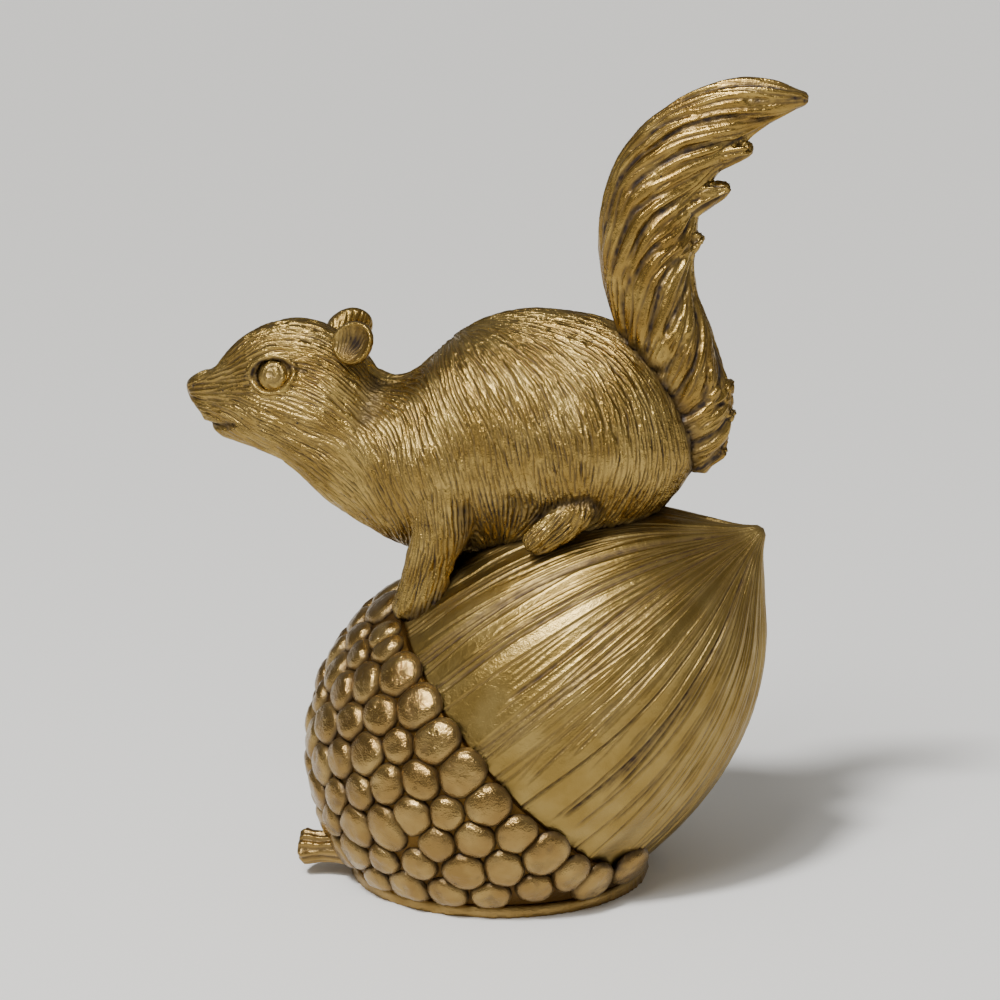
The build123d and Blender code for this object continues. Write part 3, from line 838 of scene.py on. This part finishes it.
# %% [markdown]
# ## Ears
#
# An ear is a shallow bowl. A ball's front half is pushed in to be the hollow,
# and its back half tapers into the head. Its rim is not round: it is drawn up to a soft point.
# Fine hair lines fan out from the hollow's floor to the rim.

# %% Ears
# Reach of the rim every 45 degrees, from the back over the top
ear_knots = [5.3, 6.1, 5.8, 5.2, 6.3, 5.8, 5.3, 5.2, 5.3]
ear_reach = even_round(np.interp(full_turn, np.arange(0, 405, 45), ear_knots), 90)
ear_depth = 2.6
floor_share = 0.84
hair_lines = 64


def make_ear(side_name, side):
    shell = read_points(nodes[f"ear_{side_name}"])
    reach = shell @ unit(np.array([-0.35, side * 0.85, 0.3]))
    middle = shell[reach > reach.max() - 0.2].mean(axis=0)
    opening = unit(np.array([-0.2, side * 0.9, 0.3]))
    upward = np.array([0.25, 0.0, 1.0])
    upward = unit(upward - opening * (upward @ opening))
    across = np.cross(upward, opening) * -side
    ear, ball = fresh_ball(f"ear_{side_name}_bowl", 180, 130)
    front = np.clip(ball[:, 2], -1, 1)
    turn = np.arctan2(ball[:, 1], ball[:, 0])
    share = np.hypot(ball[:, 0], ball[:, 1])
    rim = np.interp(np.degrees(turn) % 360, full_turn, ear_reach, period=360)
    hollow = -ear_depth * (1 - np.clip(share / floor_share, 0, 1) ** 2.2)
    lip = -0.7 * np.clip((share - 0.9) / 0.1, 0, 1) ** 2
    # Thin at the free edge, thick where the ear grows out of the head
    thick = 2.0 + 4.2 * (0.5 - 0.5 * np.cos(turn - 0.7))
    level = np.where(front > 0, hollow + lip, -0.7 - thick * np.abs(front) ** 0.8)
    # The low front part of the rim sinks into the fur of the cheek
    level = level - 1.5 * share**2 * np.clip(np.cos(turn - math.radians(222)), 0, 1)
    x, y = rim * share * np.cos(turn), rim * share * np.sin(turn)
    # Hair lines fan out from a place below the ear
    spread = np.arctan2(y + 9.0, x + 2.5)
    flat = np.stack([x, y, front], axis=1)
    wander = soft_noise(flat, 3.0, 4 + side)
    hairs = np.sin(hair_lines * spread + 6.0 * wander) * (0.6 + 0.4 * soft_noise(flat, 2.0, 9))
    in_hollow = (front > 0) * np.clip((floor_share + 0.03 - share) * 8, 0, 1)
    hairy = np.where(front > 0, in_hollow, np.clip(-front * 3, 0, 1))
    level = level + 0.16 * hairs * hairy
    points = middle + np.outer(x, across) + np.outer(y, upward) + np.outer(level, opening)
    write_points(ear, points)
    finish_skin(ear)
    deep = in_hollow * np.clip(1.15 - share, 0, 1) * 0.75
    write_attribute(ear, "depth", np.clip(np.maximum(0.5 * -hairs * hairy, 0) + deep, 0, 1))
    hand_over(ear, fur_paint, "fur_gold", f"ear_{side_name}")


make_ear("left", -1)
make_ear("right", 1)

# %% [markdown]
# ## Eyes
#
# Each eye is a shallow bead between the lids, modelled in clay too, so it is not quite even.
# A fine ring is drawn round the iris, which stands a little proud, and the pupil is a dent.

# %% Eyes
bead_width, bead_rise = 4.2, 2.6
iris_share, pupil_share = 0.52, 0.17
for side_name, side in (("left", 1), ("right", -1)):
    eye, ball = fresh_ball(f"eye_{side_name}_bead", 64, 48)
    in_front = ball[:, 2] > 0
    share = np.hypot(ball[:, 0], ball[:, 1])
    ring = np.exp(-(((share - iris_share) / 0.06) ** 2)) * in_front
    dents = soft_noise(ball * 4.0, 1.0, 60 + side) * in_front
    iris = np.clip((iris_share - share) / 0.1, 0, 1) * in_front
    pupil = np.exp(-((share / pupil_share) ** 2)) * in_front
    rise = ball[:, 2] * bead_rise - 0.12 * ring + 0.2 * dents + 0.2 * iris - 0.3 * pupil
    points = eye_middle - 2.0 * eye_outward + 0.6 * eye_along - 0.2 * eye_upward
    points = points + np.outer(ball[:, 0] * bead_width, eye_along)
    points = points + np.outer(ball[:, 1] * bead_width, eye_upward)
    points = points + np.outer(rise, eye_outward)
    write_points(eye, points if side == 1 else points * mirrored)
    finish_skin(eye)
    write_attribute(eye, "depth", np.clip(0.4 * ring + 0.5 * pupil + 0.2 - 0.35 * dents, 0, 1))
    hand_over(eye, fur_paint, "eye_gold", f"eye_{side_name}")

# %% [markdown]
# ## The tail
#
# The tail is a brush that bends back over itself, flat at its sides and fuller on its hair side.
# Rings along its middle line give a smooth skin, because each ring can have its own width and thickness.

# %% Tail
tail_rows = np.array([
    # out from the rump, up from the root, half width, half thickness
    (1.3, 0.0, 2.4, 3.0), (1.5, 2.1, 3.7, 3.9), (1.8, 7.9, 7.0, 6.1), (0.3, 17.2, 9.4, 8.1),
    (-4.5, 28.6, 10.6, 9.4), (-10.0, 41.8, 10.9, 10.2), (-12.0, 56.9, 11.9, 10.1), (-9.3, 71.8, 11.5, 8.6),
    (-0.7, 83.1, 10.3, 6.9), (9.6, 90.1, 7.9, 5.1), (18.6, 92.5, 4.9, 3.6), (24.4, 92.9, 2.5, 2.2),
    (25.9, 92.8, 1.8, 1.6), (26.6, 92.7, 0.8, 0.8),
])
tail_root = np.array([48.4, 0.0, 105.7])
tail_steps, tail_sides = 150, 72
inner_reach, hair_side_reach = 0.8, 1.2


def tail_rings():
    knots = np.concatenate([[0], np.cumsum(np.linalg.norm(np.diff(tail_rows[:, :2], axis=0), axis=1))])
    where = np.linspace(0, knots[-1], tail_steps)
    out, up, wide, thick = (smooth_curve(knots, tail_rows[:, column], where) for column in range(4))
    middle = tail_root + np.stack([out, 0 * out, up], axis=1)
    way = unit(np.gradient(middle, axis=0))
    to_spine = np.cross(way, [0, 1, 0])
    turn = np.linspace(0, 2 * math.pi, tail_sides, endpoint=False)
    reach = np.where(np.cos(turn) > 0, inner_reach, hair_side_reach)
    middle = middle + to_spine * (0.2 * wide)[:, None]
    rings = middle[:, None] + np.outer(thick, np.sin(turn))[..., None] * np.array([0, 1, 0])
    return rings + (wide[:, None] * (reach * np.cos(turn)))[..., None] * to_spine[:, None]


faces = []
for ring in range(tail_steps - 1):
    for place in range(tail_sides):
        here, beside = ring * tail_sides + place, ring * tail_sides + (place + 1) % tail_sides
        faces.append((here, beside, beside + tail_sides, here + tail_sides))
faces.append(tuple(range(tail_sides))[::-1])
faces.append(tuple((tail_steps - 1) * tail_sides + place for place in range(tail_sides)))
mesh = bpy.data.meshes.new("squirrel_tail")
mesh.from_pydata([tuple(p) for p in tail_rings().reshape(-1, 3) * mm], [], faces)
mesh.validate()
tail = bpy.data.objects.new("squirrel_tail", mesh)
bpy.context.scene.collection.objects.link(tail)
print("tail rings:", tail_steps)

# %% [markdown]
# Tufts stand out from the hair side. Each is a ball drawn out to a blunt lock, and a pair of them,
# a little apart, makes a tuft that looks full from both sides. They get one skin with the tail.

# %% Tufts of the tail
tuft_table = [
    # tip x, tip z, rise in degrees, length, half height at the tip, half height at the root
    (61.8, 186.2, 16, 16, 2.1, 5.0), (56.5, 176.2, 20, 14, 1.6, 5.6), (50.0, 164.4, 40, 9, 1.6, 3.6),
    (57.4, 129.0, 62, 12, 1.7, 3.4), (58.4, 121.5, 40, 10, 1.7, 3.2), (56.6, 112.0, 30, 9, 1.7, 3.0),
]
tuft_lean = 0.35
for tip_x, tip_z, rise, length, tip_height, root_height in tuft_table:
    for lean in (-tuft_lean, tuft_lean):
        tuft, ball = fresh_ball("tuft", 32, 24)
        tilt = math.radians(rise)
        way = unit(np.array([math.cos(tilt), lean * 0.4, math.sin(tilt)]))
        aside = unit(np.cross(way, [0, 1, 0]))
        over = np.cross(aside, way)
        share = (ball[:, 2] + 1) / 2
        around = unit(ball[:, :2])
        half_height = root_height + (tip_height - root_height) * share
        reach = half_height * np.clip(1 - share**14, 0, 1) ** 0.5 * np.clip(share * 5, 0, 1)
        tip = np.array([tip_x, 3.4 * lean, tip_z])
        points = tip - np.outer((1 - share) * length, way)
        points += np.outer(around[:, 0] * reach, aside)
        points += np.outer(around[:, 1] * reach, over)
        write_points(tuft, points)
        join_onto(tail, tuft)

remesh(tail, 0.28)
relax(tail, 5)
print("tail points:", len(tail.data.vertices))

# %% [markdown]
# ## Locks of the tail
#
# A lock is a long lens with a sharp groove on either side. The same even grooves make it, only wider,
# and raising them to a power below one turns their waves into round lobes.
# Strands go over the locks in the same way, and fine lines over the strands.
# All of them get shallower towards the root and the tip.

# %% Locks
tail_points = read_points(tail)
tail_normals = read_normals(tail)
lock_gap, lock_length = 5.6, 34.0
strand_gap, strand_length = 2.4, 22.0
line_gap, line_length = 1.1, 11.0
locks = grooves(tail_points, tail_normals, tail_comb, lock_gap, lock_length, 5)
strands = grooves(tail_points, tail_normals, tail_comb, strand_gap, strand_length, 6)
lines = grooves(tail_points, tail_normals, tail_comb, line_gap, line_length, 7)
root_fade = np.clip((tail_points[:, 2] - tail_root[2]) / 6, 0.3, 1)
tail_far_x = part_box("tail")[1][0] / mm
tip_fade = np.clip((tail_far_x - tail_points[:, 0]) / 8, 0.25, 1)
relief = 1.25 * (((1 + locks) / 2) ** 0.45 - 0.7) + 0.5 * (((1 + strands) / 2) ** 0.5 - 0.7) + 0.06 * lines
tail_points = tail_points + tail_normals * (relief * root_fade * tip_fade - 0.3)[:, None]
# The locks make the bend higher than the smooth skin was, so it is set lower
bend_from, bend_height, bend_lower = 182, 20, 1.2
tail_points[:, 2] -= bend_lower * np.clip((tail_points[:, 2] - bend_from) / bend_height, 0, 1)
write_points(tail, tail_points)
print("locks are cut", np.ptp(relief).round(2), "mm deep")

# %% [markdown]
# The stain lies in every groove, most of all between the locks, and where the tail grows out of the rump.

# %% Stain and parts of the tail
lock_wash = np.clip(-2.4 * locks - 1.3, 0, 1)
strand_wash = 0.75 * np.clip(-2.2 * strands - 1.2, 0, 1)
line_wash = 0.45 * np.clip(-1.4 * lines - 0.7, 0, 1)
tail_wash = np.maximum(lock_wash, np.maximum(strand_wash, line_wash))
write_attribute(tail, "depth", np.maximum(tail_wash, closeness(tail_points, "torso", 3.5)))
cut_in_parts(tail, 2, [("tail_lower", ["tail"]), ("tail_upper", ["tail"])], tail_paint, "tail_gold")

# %% [markdown]
# ## The nut
#
# The nut is turned, then scored by hand from the rim to the tip. It starts as a ball with very many slices,
# because a score is narrow and long: slices are needed round it and few rings along it.
# The ball's rings are moved onto the nut's outline, and its last few close the base inside the cup.

# %% Nut
nut_slices, nut_rings = ((900, 108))
base_rings = 4
nut, ball = fresh_ball("acorn_nut", nut_slices, nut_rings)
turn = np.arctan2(ball[:, 1], ball[:, 0])
ring_share = 1 - np.arccos(np.clip(ball[:, 2], -1, 1)) / math.pi
base_share = base_rings / nut_rings
on_base = ring_share < base_share
share = np.clip((ring_share - base_share) / (1 - base_share), 0, 1)
radius = np.where(on_base, nut_rim_radius * ring_share / base_share, nut_radius(share))
radius[ring_share > 1 - 0.5 / nut_rings] = 0
print("nut points:", len(ball))

# %% [markdown]
# A score is a narrow V with a raised lip on either side, as when clay is pushed aside.
# It follows one slice with a little drift and wander, gets narrower towards the tip, and fades in and out.

# %% One score
score = np.zeros(len(ball))
lips = np.zeros(len(ball))
fade_in, fade_out = 0.05, 0.12


def cut_score(middle, first, last, half_width, depth, drift, wander, phase):
    """One score at the turn `middle`, between two shares of the nut's length."""
    path = middle + drift * share + wander * np.sin(2.2 * math.pi * share + phase)
    off = np.abs((turn - path + math.pi) % (2 * math.pi) - math.pi) * np.maximum(radius, 2.0)
    wide = half_width * (0.5 + 0.5 * np.sqrt(radius / nut_rim_radius))
    start = np.clip((share - first) / fade_in + (first < 0.01), 0, 1)
    ends = start * np.clip((last - share) / fade_out, 0, 1)
    np.maximum(score, depth * ends * np.clip(1 - off / wide, 0, 1), out=score)
    np.maximum(lips, depth * ends * np.exp(-(((off - 1.35 * wide) / (0.4 * wide)) ** 2)), out=lips)


# %% [markdown]
# The carver scored one to four long lines side by side, and then filled in with short fine ones.

# %% Scores
bundle_count, fine_count = 38, 260
for number in range(bundle_count):
    bundle = 2 * math.pi * (number + chance.uniform(-0.35, 0.35)) / bundle_count
    for line in range(chance.integers(1, 5)):
        cut_score(
            bundle + (line - 1.5) * chance.uniform(0.02, 0.036),
            chance.choice([0.0, chance.uniform(0.0, 0.3)]),
            chance.choice([1.0, chance.uniform(0.6, 1.1)]),
            chance.uniform(0.4, 0.8),
            chance.uniform(0.35, 0.85),
            chance.normal(0, 0.05),
            chance.normal(0, 0.012),
            chance.uniform(0, 6),
        )
for number in range(fine_count):
    first = chance.uniform(0.0, 0.7)
    cut_score(
        chance.uniform(0, 2 * math.pi),
        first,
        first + chance.uniform(0.15, 0.6),
        chance.uniform(0.32, 0.5),
        chance.uniform(0.25, 0.65),
        chance.normal(0, 0.07),
        chance.normal(0, 0.01),
        chance.uniform(0, 6),
    )
print("scores:", bundle_count, "bundles and", fine_count, "fine lines")

# %% [markdown]
# Between the scores the nut swells and sinks in slow waves. All relief fades out at the pointed tip.
# The whole skin is sunk a little, so that its lips stay inside the solid nut.

# %% Nut form
skin_sink = 0.35
waves = 19
swell = 0.28 * np.sin(waves * turn + 1.5 * np.sin(3 * turn)) * np.clip(radius / 15, 0, 1)
relief = (0.25 * lips - 0.75 * score + swell) * np.clip(radius / 8, 0, 1) * ~on_base
relief -= skin_sink * ~on_base
spoke = np.outer(np.cos(turn), acorn_upper) + np.outer(np.sin(turn), acorn_side)
reach = radius + np.where(radius > 1.5, relief, 0)
along = rim_ahead + share * nut_length
points = cup_centre + np.outer(along, acorn_axis) + spoke * reach[:, None]
write_points(nut, points)
finish_skin(nut)
nut_wash = 1.3 * score - 0.05
for node_name in ("torso", "foreleg_left", "foreleg_right", "hind_foot_left", "hind_foot_right"):
    nut_wash = np.maximum(nut_wash, 0.85 * closeness(points, node_name, 3.0))
write_attribute(nut, "depth", np.clip(nut_wash, 0, 1))
hand_over(nut, nut_paint, "nut_gold", "nut")

# %% [markdown]
# ## The pads of the cup
#
# Each pad is a small lens of clay pressed onto the ball, so no two are quite alike.
# The solid model has them as loose octagons. Each island of its mesh gives a pad's place,
# and a domed form with dents takes it.

# %% Reading the places of the pads
def islands(mesh_object):
    """The points of every loose part of a node's mesh, in millimetres."""
    work = bmesh.new()
    work.from_mesh(mesh_object.data)
    bmesh.ops.remove_doubles(work, verts=work.verts, dist=weld_distance)
    reached = set()
    found = []
    for seed in work.verts:
        if seed in reached:
            continue
        reached.add(seed)
        group = [seed]
        for vert in group:
            for edge in vert.link_edges:
                other = edge.other_vert(vert)
                if other not in reached:
                    reached.add(other)
                    group.append(other)
        found.append(np.array([v.co for v in group]) / mm)
    work.free()
    return found


pad_rows = range(1, 9)
row_of_pad, pad_middles = [], []
for row_number in pad_rows:
    for island in islands(nodes[f"scale_row_{row_number}"]):
        row_of_pad.append(row_number)
        pad_middles.append(unit(island.mean(axis=0) - cup_centre) * cup_radius)
print("pads of the solid model:", len(pad_middles))

# %% [markdown]
# The solid model leaves the ball free in front of each paw, and at each side where the rim row runs down
# to the foot. The real cup has a pad there, so these places get one more.

# %% Places of the pads
extra_pads = [(-24.6, 22.6, 32.6), (37.3, 20.8, -23.0)]
for side in (-1, 1):
    for x, y, z in extra_pads:
        row_of_pad.append(1)
        pad_middles.append(unit(np.array([x, side * y, z])) * cup_radius)
pad_middles = np.array(pad_middles)
pad_middles = unit(pad_middles + chance.normal(0, 0.4, pad_middles.shape)) * cup_radius
# How much room each pad wins from its neighbours, with a little more for the rim row
pad_vigour = chance.uniform(0.8, 1.16, len(pad_middles)) + 0.08 * (np.array(row_of_pad) == 1)
print("pads in all:", len(pad_middles))

# %% [markdown]
# Neighbours press on each other, so a pad's edge ends halfway to the next pad, and bulges into the gaps.
# Bigger pads win a little more room than small ones.

# %% Pad outlines
pad_slices = 28
pad_turn = np.linspace(0, 2 * math.pi, pad_slices, endpoint=False)
biggest_pad = 5.9
neighbour_reach = 15
pad_gap = 0.02


def pad_outline(number):
    """Reach of one pad in each direction, and its two directions along the ball."""
    middle = pad_middles[number]
    outward = unit(middle)
    across = unit(np.cross(outward, [0.3, 0.2, 1.0]))
    up = np.cross(outward, across)
    reach = np.full(pad_slices, biggest_pad * pad_vigour[number])
    gaps = pad_middles - middle
    for other in np.nonzero(np.linalg.norm(gaps, axis=1) < neighbour_reach)[0]:
        if other == number:
            continue
        x, y = gaps[other] @ across, gaps[other] @ up
        distance = np.linalg.norm(gaps[other])
        own = distance * pad_vigour[number] / (pad_vigour[number] + pad_vigour[other])
        facing = np.cos(pad_turn - math.atan2(y, x))
        edge = np.where(facing > 0.2, (own - pad_gap) / np.maximum(facing, 0.2), np.inf)
        reach = np.minimum(reach, edge)
    return even_round(reach, 3), across, up, outward


# %% [markdown]
# One pad is modelled: a ball, flattened below, with a broad top and a round edge.
# Each place gets its own copy, stretched to its own outline, tipped a little and dented.

# %% One pad
master_pad, master = fresh_ball("master_pad", pad_slices, 16)
master_share = np.clip(np.hypot(master[:, 0], master[:, 1]), 0, 1)
master_turn = np.arctan2(master[:, 1], master[:, 0]) % (2 * math.pi)
master_slice = np.round(master_turn / (2 * math.pi) * pad_slices).astype(int) % pad_slices
top_share = np.where(master[:, 2] > 0, 1 - master_share**2.9, 0) ** 0.55
below = master[:, 2] < -0.02
spread = master_share**0.8
usual_reach = 5.0
pad_rise = 2.6


def shape_pad(pad, number):
    """Shapes a copy of the ball to the pad of this number, and gives it its stain and a painted shade round
    its edge.
    """
    reach, across, up, outward = pad_outline(number)
    width = spread * reach[master_slice]
    x, y = width * np.cos(master_turn), width * np.sin(master_turn)
    # Small pads are flatter, and each is tipped a little
    rise = pad_rise * min(1.0, 0.35 + 0.65 * reach.mean() / usual_reach) * chance.uniform(0.92, 1.0)
    tip = chance.normal(0, 0.05, 2)
    level = (rise + tip[0] * x + tip[1] * y) * top_share
    # The rim follows the ball, and the underside is sunk into it
    level -= 0.8 * width**2 / (2 * cup_radius) + 0.4 * below
    form = cup_centre + pad_middles[number] + np.outer(x, across) + np.outer(y, up)
    dents = soft_noise(form, 2.4, number) * 0.26 + soft_noise(form, 1.2, number + 200) * 0.1
    form = form + np.outer(level + dents * top_share, outward)
    form[:, 2] = np.maximum(form[:, 2], foot_height + 0.15)
    write_points(pad, form)
    # Painted shade, darkest round the pad's edge and fading to none on its broad top
    painted_rim_shade = np.clip(1.1 - 1.5 * top_share, 0, 1)
    smudge = 0.55 * np.clip(soft_noise(form, 3.2, 400) - 0.25, 0, 1) + np.clip(-2.5 * dents - 0.3, 0, 0.4)
    write_attribute(pad, "depth", np.maximum(painted_rim_shade, smudge))


# %% [markdown]
# The pads of one row are joined into one piece, as the solid model has one node for each row.

# %% Rows of pads
for row_number in pad_rows:
    row_pads = []
    for number in [n for n, row in enumerate(row_of_pad) if row == row_number]:
        pad = master_pad.copy()
        pad.data = master_pad.data.copy()
        bpy.context.scene.collection.objects.link(pad)
        shape_pad(pad, number)
        row_pads.append(pad)
    join_onto(*row_pads)
    row = row_pads[0]
    row.name = f"pads_row_{row_number}"
    bpy.ops.object.shade_smooth()
    hand_over(row, scale_paint, "scale_gold", f"scale_row_{row_number}")
bpy.data.objects.remove(master_pad)

# %% [markdown]
# ## Foot
#
# The lip of the foot is a soft rounded band that the casting stands on, slightly uneven from sanding.
# A remesh rounds the solid's edges, and only the part above the table is moved, so its underside stays flat.

# %% Foot
foot = copy_nodes("acorn_foot", "foot")
remesh(foot, 0.7)
relax(foot, 3)
foot_points = read_points(foot)
out = unit(foot_points * [1, 1, 0])
above_table = np.clip(foot_points[:, 2] / 1.0, 0, 1)
unevenness = 0.25 * (1 + soft_noise(foot_points, 9.0, 51))
foot_points = foot_points - out * (unevenness * above_table)[:, None]
write_points(foot, foot_points)
write_attribute(foot, "depth", np.zeros(len(foot_points)))
hand_over(foot, plain_paint, "foot_gold", "foot")

# %% [markdown]
# ## Stalk
#
# The stalk is a cut twig with knots, and bark that runs in ridges along it.
# Its points are moved towards its own axis: a wave round the axis makes the ridges, and soft noise the knots.

# %% Stalk
ridge_count = 11
ridge_share, knot_share = 0.11, 0.16
knot_depth = 0.35
stalk = copy_nodes("acorn_stalk", "stalk")
remesh(stalk, 0.35)
relax(stalk, 4)
stalk_points = read_points(stalk)
stalk_normals = read_normals(stalk)
low_corner, high_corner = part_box("stalk")
stalk_middle = np.array([0, (low_corner[1] + high_corner[1]) / 2, (low_corner[2] + high_corner[2]) / 2]) / mm
angle = np.arctan2(stalk_points[:, 2] - stalk_middle[2], stalk_points[:, 1] - stalk_middle[1])
bark = ridge_count * angle + 0.8 * np.sin(3 * angle) + soft_noise(stalk_points, 4.0, 71)
ridges = np.sin(bark) * 0.5 + 0.5
side_share = 1 - np.abs(stalk_normals[:, 0])
knots = 0.5 + 0.5 * soft_noise(stalk_points, 3.2, 72)
spokes = (stalk_points - stalk_middle) * [0, 1, 1]
stalk_points = stalk_points - spokes * (ridge_share * ridges + knot_share * knots)[:, None]
stalk_points = stalk_points - stalk_normals * (knot_depth * knots)[:, None]
write_points(stalk, stalk_points)
write_attribute(stalk, "depth", np.clip(ridges * side_share - 0.3, 0, 1))
hand_over(stalk, plain_paint, "stalk_gold", "stalk")

# %% [markdown]
# ## Pieces that stay as they are
#
# The cup's ball shows only as a dark ground between the pads, darkened by stain and painted shade, and the
# dowels are inside the casting.
# So they keep their own mesh from the solid model, and only get a finish.

# %% Nodes that stay
for node_name, material in (("cup", ground_stain_and_shade_paint), ("tail_pin", steel), ("seat_pins", steel)):
    nodes[node_name].data.materials.clear()
    nodes[node_name].data.materials.append(material)
    print(node_name, "gets", material.name)

# %% [markdown]
# ## Studio floor and air
#
# The floor is white studio paper, rolled and uncoated, which scatters light with no gloss at all.
# Metal shows what it reflects, so the air is a pale grey that gets a little brighter towards the front left.

# %% Floor and air
bpy.ops.object.select_all(action="DESELECT")
bpy.ops.mesh.primitive_plane_add(size=40)
floor = bpy.context.object
floor.name = "studio_floor"
paper, tree, shader = new_material("Uncoated studio paper")
shader.inputs["Base Color"].default_value = linear("#F4F3F0")
shader.inputs["Roughness"].default_value = 0.9
floor.data.materials.append(paper)

world = bpy.data.worlds.new("Studio air")
bpy.context.scene.world = world
world.use_nodes = True
air = world.node_tree
front_left = (-0.25, -0.85, 0.46)
toward = add_node(air, "ShaderNodeTexCoord").outputs["Generated"]
facing = add_node(air, "ShaderNodeVectorMath", {0: toward, 1: front_left}, operation="DOT_PRODUCT")
glow = add_node(
    air, "ShaderNodeMapRange", {"Value": facing.outputs["Value"], "From Min": -0.1, "From Max": 1.0}
)
greys = {0: glow.outputs["Result"], 6: linear("#B0AEAA"), 7: linear("#D0CDC6")}
air_colour = add_node(air, "ShaderNodeMix", greys, data_type="RGBA").outputs[2]
air.links.new(air_colour, air.nodes["Background"].inputs["Color"])
air.nodes["Background"].inputs["Strength"].default_value = 0.6
print("floor and air:", paper.name, "and", world.name)

# %% [markdown]
# ## Lights and camera
#
# A broad sun from the front left gives the soft shadow and the long glints on the fur.
# A soft box above the front fills in the near side. The camera stands where the photograph was taken from:
# 11 degrees to the right of the side view and 13 degrees up. The lens gives the photograph's perspective.

# %% Lights and camera
target = Vector((0.0, 0.0, 96.4 * mm))


def hang(item, azimuth, elevation, distance):
    """Puts a lamp or the camera at its place round the figurine, turned to its middle."""
    a, e = math.radians(azimuth), math.radians(elevation)
    way = Vector((math.sin(a) * math.cos(e), -math.cos(a) * math.cos(e), math.sin(e)))
    item.location = target + distance * way
    item.rotation_euler = (target - item.location).to_track_quat("-Z", "Y").to_euler()
    bpy.context.scene.collection.objects.link(item)
    print(item.name, "at", [round(value / mm) for value in item.location])


sun = bpy.data.objects.new("Key sun", bpy.data.lights.new("Key sun", "SUN"))
sun.data.energy = 3.0
sun.data.angle = math.radians(8)
hang(sun, -24, 57, 1.0)

softbox = bpy.data.objects.new("Soft box", bpy.data.lights.new("Soft box", "AREA"))
softbox.data.size = 0.35
softbox.data.energy = 3.5
hang(softbox, -14, 48, 0.8)

camera = bpy.data.objects.new("Camera", bpy.data.cameras.new("Camera"))
camera.data.lens = 108
camera.data.sensor_width = 36
hang(camera, 11, 13, 750 * mm)
bpy.context.scene.camera = camera
